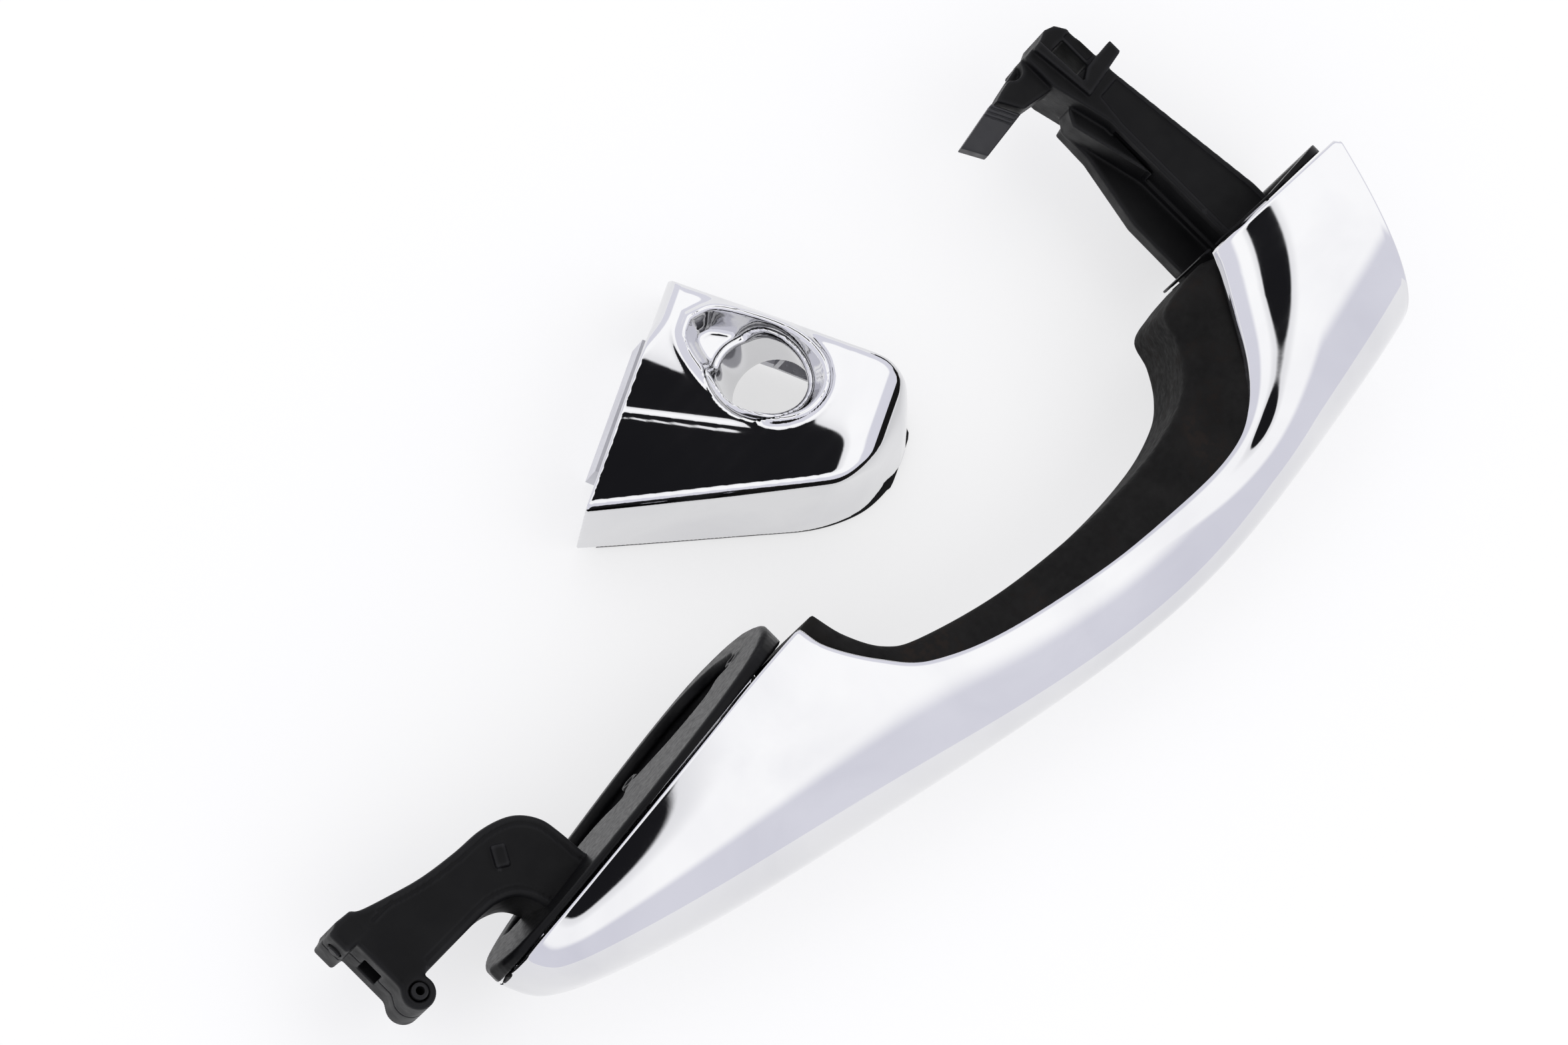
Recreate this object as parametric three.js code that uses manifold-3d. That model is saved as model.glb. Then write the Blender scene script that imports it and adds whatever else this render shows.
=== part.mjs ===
// Car door pull handle, outer side. A chrome shell covers a black inner grip and its spine.
// A goose-neck front arm turns on a pivot pin, and a long rear lever arm reaches into the
// door. Two pads stay on the door, and the lock cylinder's chrome cap lies loose beside it.
// Millimetres. +X runs forward along the door, +Y out of the door, +Z along the pivot pin.
// The origin is the centre of the pivot pin's lower end.
import * as THREE from 'three';
import { mergeVertices } from 'three/addons/utils/BufferGeometryUtils.js';
import Module from 'manifold-3d';

const wasm = await Module();
wasm.setup();

// ---- driving dimensions ----
const gap = 0.3;                 // clearance between pieces that touch
const gripLength = 213;          // grip from its nose to its rear end, along X
const gripDepth = 38.8;          // crown of the arch above the door line, along Y
const gripHeight = 42;           // grip at its rear end, along Z
const shellWall = 2.2;
const gripSetback = 0.8;         // inner grip sits this far under the shell's surface
const armThickness = 15;         // both arms, along Z
const pinRadius = 1.5;           // pivot pin, outside
const pinBore = 0.8;             // recess in the pivot pin's upper end
const pinFloor = 2;              // solid metal under that recess
const pinProud = 0.8;            // pin stands out of the arm by this on each side
const lugWall = 1.3;             // wall of the pivot lug round the pin
const endPinRadius = 1.2;        // small pin in the front arm's inner lug
const tipLength = 9;             // front arm's split tip, behind the pivot
const rootThickness = 4.2;       // front arm's root plate under the spine
const spineHeight = 14;          // spine inside the shell, along Z
const padWall = 5.4;             // width of the front pad's ring
const padSeat = 0.1;             // front pad lies this much further under the shell
const padTwist = 0.127;          // front pad's door face leans by this slope along Z
const rearPadThickness = 0.5;    // rear pad at its front; it thickens to its lip
const rearPadLip = 1.7;
const rearPadWall = 3.8;
const rearPadEndWall = 3;
const rearPadFrontWall = 2;
const screwRadius = 1.6;
const screwBite = 4.2;           // length of screw inside the spine
const screwHead = 3.2;           // screw head radius
const screwHeadHeight = 2.4;
const beamWidth = 10.4;          // rear lever arm, along X
const tongueThickness = 3;
const capWidth = 50.5;           // lock cap across its wide end
const capLength = 50;            // lock cap from wide end to tip
const capHeight = 27;            // lock cap at its wide end
const capWall = 2;
const capStrip = 0.8;            // rubber strip under the cap's edge
const lockRadius = 7.4;          // key hole
const sleeveWall = 1.2;          // lining of the key hole
const sleeveDepth = 11;

// ---- derived sizes ----
const stretchX = gripLength / 213;
const stretchY = gripDepth / 38.8;
const stretchZ = gripHeight / 42;
const armHalf = armThickness / 2;
const midZ = armHalf + pinProud;              // handle's middle plane
const floorZ = midZ - gripHeight / 2;         // lowest flank
const boreRadius = pinRadius + gap;
const lugRadius = boreRadius + lugWall;
const place = ([x, y]) => [x * stretchX, y * stretchY];

// ---- solids ----
function solid(geometry) {
  geometry.deleteAttribute('normal');
  geometry.deleteAttribute('uv');
  const merged = mergeVertices(geometry, 1e-4);
  return new wasm.Manifold(new wasm.Mesh({
    numProp: 3,
    vertProperties: new Float32Array(merged.attributes.position.array),
    triVerts: new Uint32Array(merged.index.array),
  }));
}

function geometryOf(body) {
  const mesh = body.getMesh();
  const geometry = new THREE.BufferGeometry();
  geometry.setAttribute('position', new THREE.BufferAttribute(mesh.vertProperties, 3));
  geometry.setIndex(new THREE.BufferAttribute(mesh.triVerts, 1));
  return geometry;
}

const shapeOf = (points) => new THREE.Shape(points.map(([x, y]) => new THREE.Vector2(x, y)));

// A plate whose outline lies in the XY plane, from z0 up to z1.
function plate(points, z0, z1) {
  const geometry = new THREE.ExtrudeGeometry(shapeOf(points),
    { depth: z1 - z0, bevelEnabled: false });
  geometry.translate(0, 0, z0);
  return solid(geometry);
}

// A wall whose outline lies in the XZ plane, from y0 out to y1.
function wall(points, y0, y1) {
  const geometry = new THREE.ExtrudeGeometry(shapeOf(points),
    { depth: y1 - y0, bevelEnabled: false });
  geometry.rotateX(Math.PI / 2);
  geometry.translate(0, y1, 0);
  return solid(geometry);
}

function block([x0, x1], [y0, y1], [z0, z1]) {
  const geometry = new THREE.BoxGeometry(x1 - x0, y1 - y0, z1 - z0);
  geometry.translate((x0 + x1) / 2, (y0 + y1) / 2, (z0 + z1) / 2);
  return solid(geometry);
}

// A round bar from point a to point b.
function bar(radius, a, b, sides = 20) {
  const from = new THREE.Vector3(...a);
  const to = new THREE.Vector3(...b);
  const geometry = new THREE.CylinderGeometry(radius, radius, from.distanceTo(to), sides);
  geometry.applyQuaternion(new THREE.Quaternion().setFromUnitVectors(
    new THREE.Vector3(0, 1, 0), to.clone().sub(from).normalize()));
  const middle = from.add(to).multiplyScalar(0.5);
  geometry.translate(middle.x, middle.y, middle.z);
  return solid(geometry);
}

// A skin through rings of the same number of points, closed by a fan at each end.
function loft(rings) {
  const count = rings[0].length;
  const ends = [rings[0], rings[rings.length - 1]];
  const middles = ends.map((ring) => ring
    .reduce((sum, p) => sum.map((v, i) => v + p[i] / count), [0, 0, 0]));
  const positions = [...rings.flat(), ...middles].flat();
  const last = (rings.length - 1) * count;
  const faces = [];
  for (let i = 0; i < count; i += 1) {
    const next = (i + 1) % count;
    for (let r = 0; r < last; r += count) {
      faces.push(r + i, r + next, r + count + i);
      faces.push(r + next, r + count + next, r + count + i);
    }
    faces.push(last + count, next, i);
    faces.push(last + count + 1, last + i, last + next);
  }
  const build = (order) => {
    const geometry = new THREE.BufferGeometry();
    geometry.setAttribute('position', new THREE.Float32BufferAttribute(positions, 3));
    geometry.setIndex(order);
    return solid(geometry);
  };
  const body = build(faces);
  return body.volume() > 0 ? body : build(faces.toReversed());
}

// ---- curves ----
// Points of a smooth curve through the given ones.
function curve(points, steps) {
  const line = new THREE.SplineCurve(points.map(([x, y]) => new THREE.Vector2(x, y)));
  return line.getPoints(steps).map((p) => [p.x, p.y]);
}

// The same curve moved sideways to its left by a distance.
function offset(points, distance) {
  return points.map(([x, y], i) => {
    const [ax, ay] = points[Math.max(i - 1, 0)];
    const [bx, by] = points[Math.min(i + 1, points.length - 1)];
    const length = Math.hypot(bx - ax, by - ay);
    return [x - (by - ay) / length * distance, y + (bx - ax) / length * distance];
  });
}

// A smooth function through points whose first value falls, without overshoot.
function profile(points) {
  const slope = points.map(([x, y], i) => {
    const before = i > 0 ? (y - points[i - 1][1]) / (x - points[i - 1][0]) : null;
    const after = i + 1 < points.length
      ? (points[i + 1][1] - y) / (points[i + 1][0] - x) : null;
    if (before === null || after === null) return before ?? after;
    return before * after > 0 ? 2 * before * after / (before + after) : 0;
  });
  return (x) => {
    let i = points.findIndex((p, k) => k > 0 && x >= p[0]);
    if (i < 0) i = points.length - 1;
    const [x0, y0] = points[i - 1];
    const [x1, y1] = points[i];
    const step = x1 - x0;
    const t = Math.min(Math.max((x - x0) / step, 0), 1);
    const u = 1 - t;
    return y0 * u * u * (1 + 2 * t) + y1 * t * t * (3 - 2 * t)
      + step * (slope[i - 1] * t * u * u - slope[i] * t * t * u);
  };
}

const mirrored = (points) => [...points,
  ...points.slice(1, -1).reverse().map(([x, z]) => [x, -z])];

// ---- the grip's own lines ----
const noseX = -14.7 * stretchX;
const tailX = noseX - gripLength;
const crest = profile([[-14.7, 9.6], [-20.3, 17.4], [-41.6, 25.6], [-81, 35.3],
  [-123.2, 44], [-160.4, 47.9], [-195, 44.5], [-218, 40.6], [-240, 35]].map(place));
const doorLine = profile([[-4, 10], [-88, 2.3], [-104, 1.8], [-150, 4], [-196, 7], [-244, 9.2]]
  .map(place));
const halfHeight = profile([[-14.7, 5], [-17, 9], [-21, 12.5], [-30, 15.6], [-45, 18.2],
  [-65, 19.6], [-90, 18.8], [-112, 16.4], [-140, 14.6], [-165, 15.4], [-190, 18.8],
  [-210, 20.8], [-226, 21], [-240, 21]].map(([x, h]) => [x * stretchX, h * stretchZ]));
const archEdge = curve([[-91, -6], [-91.6, 3], [-93, 8], [-98.2, 15.4], [-105.5, 22],
  [-119.7, 27.4], [-142, 32], [-160.4, 33.8], [-173, 33.8], [-181, 31.6], [-187, 26],
  [-192.7, 16.4], [-198, 6.2], [-200.5, -6]].map(place), 39);
const fingerLine = curve([[-95.9, 2.1], [-97.6, 8.5], [-101.5, 14.8], [-108, 18.4],
  [-126, 22.9], [-148, 25.1], [-164, 24.6], [-174, 22.2], [-179, 18.9], [-182.6, 13.9],
  [-184.6, 8.9], [-190, 7.6], [-196, 7.2]].map(place), 32);

// One cross-section of the grip: a flat door side and a rounded crown.
function section(x, inset, base) {
  const roundness = 2 / 2.6;
  const door = doorLine(x);
  const half = halfHeight(x) - inset;
  const depth = crest(x) - door - inset;
  const ring = [];
  for (let i = 0; i <= 16; i += 1) {
    const turn = Math.PI * (i / 16 - 0.5);
    const z = half * Math.sign(Math.sin(turn)) * Math.abs(Math.sin(turn)) ** roundness;
    ring.push([x, door + depth * Math.abs(Math.cos(turn)) ** roundness, z]);
  }
  return base ? [[x, door - base, -half], ...ring, [x, door - base, half]] : ring;
}

// The grip's full form between two stations, set in by a distance.
function gripForm(from, to, inset, base) {
  const steps = 30;
  const rings = [];
  for (let i = 0; i <= steps; i += 1) {
    const share = 0.5 - 0.5 * Math.cos(Math.PI * i / steps);
    rings.push(section(from + (to - from) * share, inset, base));
  }
  return loft(rings);
}

// The grip ends in a flat face that leans forward as it goes out of the door.
const tailLean = 0.27;
const tailFoot = 9.4 * stretchY;
const overrun = 8;                              // forms run on past the end face by this
function cutTail(body, inset) {
  const length = Math.hypot(1, tailLean);
  return body.trimByPlane([1 / length, -tailLean / length, 0],
    (tailX - tailLean * tailFoot) / length + inset);
}

const tall = gripHeight;                        // longer than any grip section is high
const below = -60;                              // deeper than any piece reaches
const archSpace = plate([...archEdge, [archEdge.at(-1)[0], below],
  [archEdge[0][0], below]], -tall, tall);

// ---- grip body ----
function outerShell() {
  const hollow = gripForm(noseX - 2 * shellWall, tailX - overrun, shellWall, 12);
  return cutTail(gripForm(noseX, tailX - overrun, 0, 0), 0)
    .subtract(cutTail(hollow, shellWall)).subtract(archSpace);
}

function gripInner() {
  const [front, rear] = [fingerLine[0], fingerLine.at(-1)];
  const middle = (front[0] + rear[0]) / 2;
  const outer = offset(archEdge, gap)
    .filter(([x, y]) => y > (x > middle ? front : rear)[1]);
  const region = plate([...outer, ...fingerLine.toReversed()], -tall, tall);
  return gripForm(noseX, tailX, gripSetback, 3).intersect(region);
}

const spineFoot = 15 * stretchY;                // spine's underside over the front arm
const rearFoot = 22 * stretchY;                 // spine's underside over the rear arm
const frontScrews = [-52, -72].map((x) => x * stretchX);
const rearScrewX = -210 * stretchX;
const rearScrewZ = 11 * stretchZ;
const screwHole = screwRadius + gap;
const spineTail = -216;

function gripSpine() {
  const under = curve([[-88, 15.6], [-94, 18], [-100, 23.4], [-120, 31.8], [-135, 34.4],
    [-160, 35.6], [-178, 33.8], [-189, 27.5], [-195, 22.2]].map(place), 20);
  const over = curve([[spineTail, 32.6], [-195, 36.2], [-178, 38.8], [-160, 39.8], [-135, 37.6],
    [-107, 32.6], [-81, 27.2], [-60, 22.6], [-45, 18.9]].map(place), 20);
  const half = spineHeight / 2;
  const ear = 13.6 * stretchZ;
  let body = plate([[place([-45, 0])[0], spineFoot], ...under,
    [spineTail * stretchX, rearFoot], ...over], -half, half)
    .add(block([spineTail * stretchX, -200 * stretchX], [rearFoot, rearFoot + 5],
      [-ear, ear]));
  for (const x of frontScrews) {
    body = body.subtract(bar(screwHole, [x, spineFoot - 1, 0], [x, spineFoot + screwBite, 0]));
  }
  for (const z of [-rearScrewZ, rearScrewZ]) {
    body = body.subtract(bar(screwHole, [rearScrewX, rearFoot - 1, z],
      [rearScrewX, rearFoot + 9, z]));
  }
  return body;
}

// ---- front arm ----
const frontRoot = spineFoot - gap - rootThickness;   // underside of the root plate

function frontArmWhole() {
  const back = curve([[-3, -17], [-8, -15.4], [-14.7, -13.6], [-22, -12.6], [-28, -12.2],
    [-32.6, -10.9], [-35.4, -9], [-37.4, -6], [-38.1, -2.6], [-38.6, 3]].map(place), 20);
  const notch = curve([[-27, 6], [-26, 2.6], [-24.2, 0.2], [-21, -1.2], [-17.5, -1.6]]
    .map(place), 8);
  const outline = [[1.8, -1.4], [1.8, -13.2], [3.8, -13.8], [3.8, -17.2], [1.8, -18.5],
    ...back, [-41 * stretchX, frontRoot], [-80 * stretchX, frontRoot],
    [-80 * stretchX, spineFoot - gap], [-28 * stretchX, spineFoot - gap], ...notch];
  let arm = plate(outline, -armHalf, armHalf)
    .add(bar(lugRadius, [0, 0, -armHalf], [0, 0, armHalf], 28))
    .subtract(bar(boreRadius, [0, 0, -armHalf - 1], [0, 0, armHalf + 1], 28))
    .subtract(block([-4.5, 4], [-10.4, -6.4], [-3.4, 3.4]));
  for (const x of frontScrews) {
    arm = arm.subtract(bar(screwHole, [x, frontRoot - 1, 0], [x, spineFoot + 1, 0]));
  }
  return arm;
}

const endPinY = -15.2;
const endPinZ = 2.2;
const endPinFrom = -1.4;
const tipSpace = (clearance) => block([-tipLength - clearance, 10], [-30, 6],
  [-armHalf - 1, clearance]);

function frontArm() {
  return frontArmWhole().subtract(tipSpace(gap))
    .subtract(bar(endPinRadius + gap, [endPinFrom - gap, endPinY, endPinZ + gap],
      [10, endPinY, endPinZ + gap]));
}

const frontArmTip = () => frontArmWhole().intersect(tipSpace(0));

const armEndPin = () => bar(endPinRadius, [endPinFrom, endPinY, endPinZ + gap],
  [4.6, endPinY, endPinZ + gap], 18);

const pinHalf = armHalf + pinProud;
const pivotPin = () => bar(pinRadius, [0, 0, -pinHalf], [0, 0, pinHalf], 28)
  .subtract(bar(pinBore, [0, 0, pinFloor - pinHalf], [0, 0, pinHalf + 1], 20));

// ---- rear arm ----
const beamX = -210.2 * stretchX;                // centre line of the lever arm
const beam = ([x, y]) => [beamX + x, y];
const rearRoot = 10 * stretchY;

function rearArm() {
  const half = beamWidth / 2;
  const outline = [[-half, rearRoot], [-half, 4], [-1.4 - half / 2, -28],
    [-1.1, -40.4], [1.2, -41.8], [3.6, -41.2], [8.6, -40.8], [15.5, -39.5], [17.6, -38.9],
    [14.9, -34.4], [8.4, -33.6], [6.9, -27], [half, -24], [half, rearRoot]].map(beam);
  const neckSpace = block([beamX + 8.5, beamX + 30], [-60, -20], [-armHalf - 1, -0.5]);
  const neckTop = block([beamX + 8.5, beamX + 30], [-60, -20], [5.5, armHalf + 1]);
  const pocket = block([beamX + 1.3, beamX + 4.3], [-38.2, -31.8], [-armHalf - 1, armHalf + 4]);
  const rail = plate([[-4.6, -32.3], [-4.6, -29.6], [5.4, -27.8], [6.6, -40.6], [4.9, -40.8],
    [4.6, -30.4], [2, -31.8]].map(beam), armHalf - 1, armHalf + 1.5);
  const flange = plate([[half - 1, 5], [half - 1, -27], [10.6, -27.4], [9.6, -20], [11, -6],
    [11, 5]].map(beam), -armHalf, -armHalf + 4.5);
  const root = block([beamX - 10, beamX + 9.5], [rearRoot, rearFoot - gap],
    [-14 * stretchZ, 14 * stretchZ]);
  let arm = plate(outline, -armHalf, armHalf).subtract(neckSpace).subtract(neckTop)
    .add(rail).subtract(pocket).add(flange).add(root);
  for (const z of [-rearScrewZ, rearScrewZ]) {
    arm = arm.subtract(bar(screwHole, [rearScrewX, rearRoot - 1, z],
      [rearScrewX, rearFoot + 1, z]));
  }
  return arm;
}

function leverTongue() {
  const outline = [[17.9 + gap, -39.2], [28.4, -37.4], [25.8, -33], [15.3 + gap, -34.2]];
  const low = 1.4;
  return plate(outline.map(beam), low, low + tongueThickness);
}

// ---- screws ----
function screw(x, seat, top, z) {
  const driveHalf = 0.45;
  const head = bar(screwHead, [x, seat - gap - screwHeadHeight, z], [x, seat - gap, z], 24);
  const slot = (wide, high) => block([x - wide, x + wide],
    [seat - gap - screwHeadHeight - 1, seat - gap - screwHeadHeight + 1.2],
    [z - high, z + high]);
  return head.add(bar(screwRadius, [x, seat - gap - 1, z], [x, top, z], 16))
    .subtract(slot(driveHalf, screwHead * 0.6).add(slot(screwHead * 0.6, driveHalf)));
}

// ---- door pads ----
function frontPad() {
  const outline = curve([[-13.4, 0], [-15, 5.8], [-19, 10.8], [-28, 15], [-45, 18.3],
    [-65, 19.6], [-80, 17.6], [-88, 12], [-91.6, 5.5], [-92.2, 0]]
    .map(([x, z]) => [x * stretchX, z * stretchZ]), 26);
  const inner = offset(outline, padWall).map(([x, z]) => [x, Math.max(z, 0)]);
  inner[0][1] = 0;
  inner[inner.length - 1][1] = 0;
  const slopeX = 0.12 / stretchX;
  const length = Math.hypot(slopeX, 1, padTwist);
  const stations = [-8, -16, -24, -34, -46, -58, -70, -82, -90, -98].map((x) => x * stretchX);
  const under = plate([...stations.map((x) => [x, doorLine(x) - gap - padSeat]),
    [stations.at(-1), below], [stations[0], below]], -tall, tall);
  return wall(mirrored(outline), -14, 14).subtract(wall(mirrored(inner), -20, 20))
    .intersect(under)
    .trimByPlane([-slopeX / length, 1 / length, -padTwist / length], 7.5 * stretchY / length);
}

function roundedBox(x0, x1, half, radius) {
  const corner = (cx, cz, start) => [0, 1, 2, 3, 4].map((i) => {
    const turn = (start + i / 4) * Math.PI / 2;
    return [cx + radius * Math.cos(turn), cz + radius * Math.sin(turn)];
  });
  return [...corner(x1 - radius, half - radius, 0), ...corner(x0 + radius, half - radius, 1),
    ...corner(x0 + radius, radius - half, 2), ...corner(x1 - radius, radius - half, 3)];
}

function rearPad() {
  const front = -196.2 * stretchX;
  const rear = -225.8 * stretchX;
  const half = 19.2 * stretchZ;
  const ring = wall(roundedBox(rear, front, half, 6), -5, 20)
    .subtract(wall(roundedBox(rear + rearPadEndWall, front - rearPadFrontWall,
      half - rearPadWall, 4), -6, 21));
  const lipStart = -212 * stretchX;
  const under = (x, drop) => [x, doorLine(x) - gap - drop];
  return ring.intersect(plate([under(front + 1, 0), under(lipStart, 0), under(rear - 1, 0),
    under(rear - 1, rearPadLip), under(lipStart, rearPadThickness),
    under(front + 1, rearPadThickness)], -tall, tall));
}

// ---- lock cap, in its own frame: X from the wide end to the tip, Z up from its base ----
const capX = capLength / 50;
const capY = capWidth / 50.5;
const capZ = capHeight / 27;
const upperSide = profile([[0, 25.25], [20, 26.2], [38, 27], [44, 25.6], [48, 21.4], [50, 16.4]]
  .map(([x, y]) => [-x * capX, y * capY]));
const lowerSide = profile([[0, -25.25], [20, -15.2], [38, -5.6], [44, -0.6], [48, 6.2],
  [50, 13.2]].map(([x, y]) => [-x * capX, y * capY]));
const crown = profile([[0, 25.2], [15, 26], [30, 26.9], [36, 26.6], [41, 23.5], [45, 18],
  [48, 11], [50, 4]].map(([x, h]) => [-x * capX, h * capZ]));
const faceSlope = 0.149;         // the cap's face falls by this slope towards its lower side
const faceEdge = 4 * capY;       // and is level beyond this line
const capLean = 0.16;            // wide end leans out over its foot by this slope

function capForm(inset, from, to, base) {
  const rings = [];
  const steps = 14;
  const squareness = 3.2;
  for (let i = 0; i <= steps; i += 1) {
    const x = from + (to - from) * Math.sin(Math.PI / 2 * i / steps);
    const low = lowerSide(-x) + inset;
    const high = upperSide(-x) - inset;
    const ring = [];
    for (let k = 0; k <= 16; k += 1) {
      const turn = Math.PI * k / 16;
      const [across, rise] = [Math.cos(turn), Math.sin(turn)];
      const reach = (Math.abs(across) ** squareness + rise ** squareness) ** (-1 / squareness);
      const y = (low + high) / 2 + (high - low) / 2 * across * reach;
      const top = crown(-x) - faceSlope * Math.max(faceEdge - y, 0);
      const z = base + (top - inset) * rise * reach;
      ring.push([x - capLean * z * (1 - x / capLength), y, z]);
    }
    rings.push(ring);
  }
  return loft(rings);
}

const capBase = capStrip + gap;
// The key hole's outer end and its outward direction.
const lockTop = [16.7 * capX, 9.3 * capY, capBase + 25.5 * capZ];
const lockTilt = [-0.49, 0, 0.872];
const lockPoint = (reach) => lockTop.map((v, i) => v + lockTilt[i] * reach);
const sleeveRadius = lockRadius + sleeveWall;

function keyCapShell() {
  return capForm(0, 0, capLength, capBase)
    .subtract(capForm(capWall, -6, capLength - 2 * capWall, capBase - 1.4)
      .add(capForm(capWall, -6, capLength - 2 * capWall, capBase + 1)))
    .subtract(bar(sleeveRadius + gap, lockPoint(-sleeveDepth - 8), lockPoint(20), 32));
}

function keyCapSleeve() {
  return bar(sleeveRadius, lockPoint(-sleeveDepth), lockPoint(20), 32)
    .intersect(capForm(0, 0, capLength, capBase))
    .subtract(bar(lockRadius, lockPoint(-sleeveDepth - 2), lockPoint(22), 32));
}

function capOutline(inset, from, to) {
  const steps = 14;
  const stations = Array.from({ length: steps + 1 },
    (_, i) => from + (to - from) * Math.sin(Math.PI / 2 * i / steps));
  return [...stations.map((x) => [x, lowerSide(-x) + inset]),
    ...stations.toReversed().map((x) => [x, upperSide(-x) - inset])];
}

function keyCapFrame() {
  const end = capLength - 3 * capWall - gap;
  const ring = plate(capOutline(capWall + gap + 0.4, 1, end), capBase, capBase + 2.2)
    .subtract(plate(capOutline(capWall + gap + 4, 5, end - 4), capBase - 1, capBase + 4));
  const flange = block([-2.4, 2], [-13 * capY, 13 * capY], [capBase, capBase + 8]);
  return ring.add(flange);
}

function keyCapStrip() {
  return plate(capOutline(0.3, 3, capLength - 0.6), 0, capStrip)
    .subtract(plate(capOutline(capWall + 0.8, -4, capLength - 3.4), -1, capStrip + 1));
}

function capClip(x, y) {
  const foot = capBase + 2.2 + gap;
  const sheet = 0.8;
  return block([x - 4, x + 4], [y - 1.4, y + 1.4], [foot, foot + sheet])
    .add(block([x - 4, x - 4 + sheet], [y - 1.4, y + 1.4], [foot, foot + 6]))
    .add(block([x + 4 - sheet, x + 4], [y - 1.4, y + 1.4], [foot, foot + 6]));
}

// ---- finishes ----
const finish = (color, roughness, metalness) => () =>
  new THREE.MeshStandardMaterial({ color, roughness, metalness });
const chrome = finish(0xe8eaee, 0.06, 1);
const satinBlack = finish(0x17181a, 0.42, 0);
const grainBlack = finish(0x1c1b1b, 0.7, 0);
const rubber = finish(0x101113, 0.5, 0);
const steel = finish(0x9c9fa3, 0.35, 1);
const grey = finish(0x8f9094, 0.5, 0);

function piece(name, body, material) {
  const mesh = new THREE.Mesh(geometryOf(body), material());
  mesh.name = name;
  return mesh;
}

const handle = new THREE.Group();
handle.position.z = midZ;
handle.add(
  piece('outer_shell', outerShell(), chrome),
  piece('grip_inner', gripInner(), grainBlack),
  piece('grip_spine', gripSpine(), satinBlack),
  piece('front_arm', frontArm(), satinBlack),
  piece('front_arm_tip', frontArmTip(), satinBlack),
  piece('arm_end_pin', armEndPin(), satinBlack),
  piece('rear_arm', rearArm(), satinBlack),
  piece('lever_tongue', leverTongue(), grey),
  piece('front_pad', frontPad(), rubber),
  piece('rear_pad', rearPad(), rubber),
  piece('pivot_pin', pivotPin(), satinBlack),
);
frontScrews.forEach((x, i) => handle.add(piece(`front_screw_${i + 1}`,
  screw(x, frontRoot, spineFoot + screwBite - gap, 0), steel)));
[-rearScrewZ, rearScrewZ].forEach((z, i) => handle.add(piece(`rear_screw_${i + 1}`,
  screw(rearScrewX, rearRoot, rearFoot + screwBite, z), steel)));

const keyCap = new THREE.Group();
keyCap.position.set(-108.6 * stretchX, -45.7, floorZ);
keyCap.rotation.z = THREE.MathUtils.degToRad(114.2);
keyCap.add(
  piece('key_cap_shell', keyCapShell(), chrome),
  piece('key_cap_sleeve', keyCapSleeve(), chrome),
  piece('key_cap_frame', keyCapFrame(), grey),
  piece('key_cap_strip', keyCapStrip(), rubber),
  piece('cap_clip_1', capClip(11, -12.8 * capY), steel),
  piece('cap_clip_2', capClip(26, 20.6 * capY), steel),
);

const doorHandle = new THREE.Group();
doorHandle.add(handle, keyCap);

export default doorHandle;
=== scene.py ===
import math

import bmesh
import bpy
import numpy as np
from mathutils import Matrix, Vector


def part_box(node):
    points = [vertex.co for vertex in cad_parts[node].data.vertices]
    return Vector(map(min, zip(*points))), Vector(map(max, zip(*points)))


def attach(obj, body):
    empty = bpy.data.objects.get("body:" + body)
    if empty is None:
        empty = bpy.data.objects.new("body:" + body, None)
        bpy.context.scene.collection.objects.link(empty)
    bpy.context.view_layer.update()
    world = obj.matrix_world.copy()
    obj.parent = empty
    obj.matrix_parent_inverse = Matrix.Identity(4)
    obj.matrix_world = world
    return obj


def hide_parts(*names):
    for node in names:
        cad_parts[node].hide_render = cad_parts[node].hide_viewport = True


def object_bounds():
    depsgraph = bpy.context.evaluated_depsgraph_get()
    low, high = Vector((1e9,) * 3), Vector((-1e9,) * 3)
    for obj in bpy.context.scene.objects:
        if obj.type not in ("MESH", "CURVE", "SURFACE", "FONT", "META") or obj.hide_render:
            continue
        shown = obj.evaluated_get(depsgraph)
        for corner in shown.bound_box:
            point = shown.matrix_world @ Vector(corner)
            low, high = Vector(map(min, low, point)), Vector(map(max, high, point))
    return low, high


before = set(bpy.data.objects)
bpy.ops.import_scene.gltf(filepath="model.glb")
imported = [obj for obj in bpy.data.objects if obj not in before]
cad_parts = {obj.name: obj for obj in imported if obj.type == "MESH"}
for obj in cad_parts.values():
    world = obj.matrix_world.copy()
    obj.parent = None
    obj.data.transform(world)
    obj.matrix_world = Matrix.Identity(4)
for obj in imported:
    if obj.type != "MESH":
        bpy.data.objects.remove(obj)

cad_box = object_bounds()
MM = 0.001
pin_low, pin_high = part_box("pivot_pin")
MID_Z = (pin_low.z + pin_high.z) / 2 / MM          # the handle's middle plane
FLOOR_Z = cad_box[0][2] / MM                       # what the handle and the cap lie on
ARM_HALF = 7.5                                     # both arms are 15 mm thick


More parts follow.
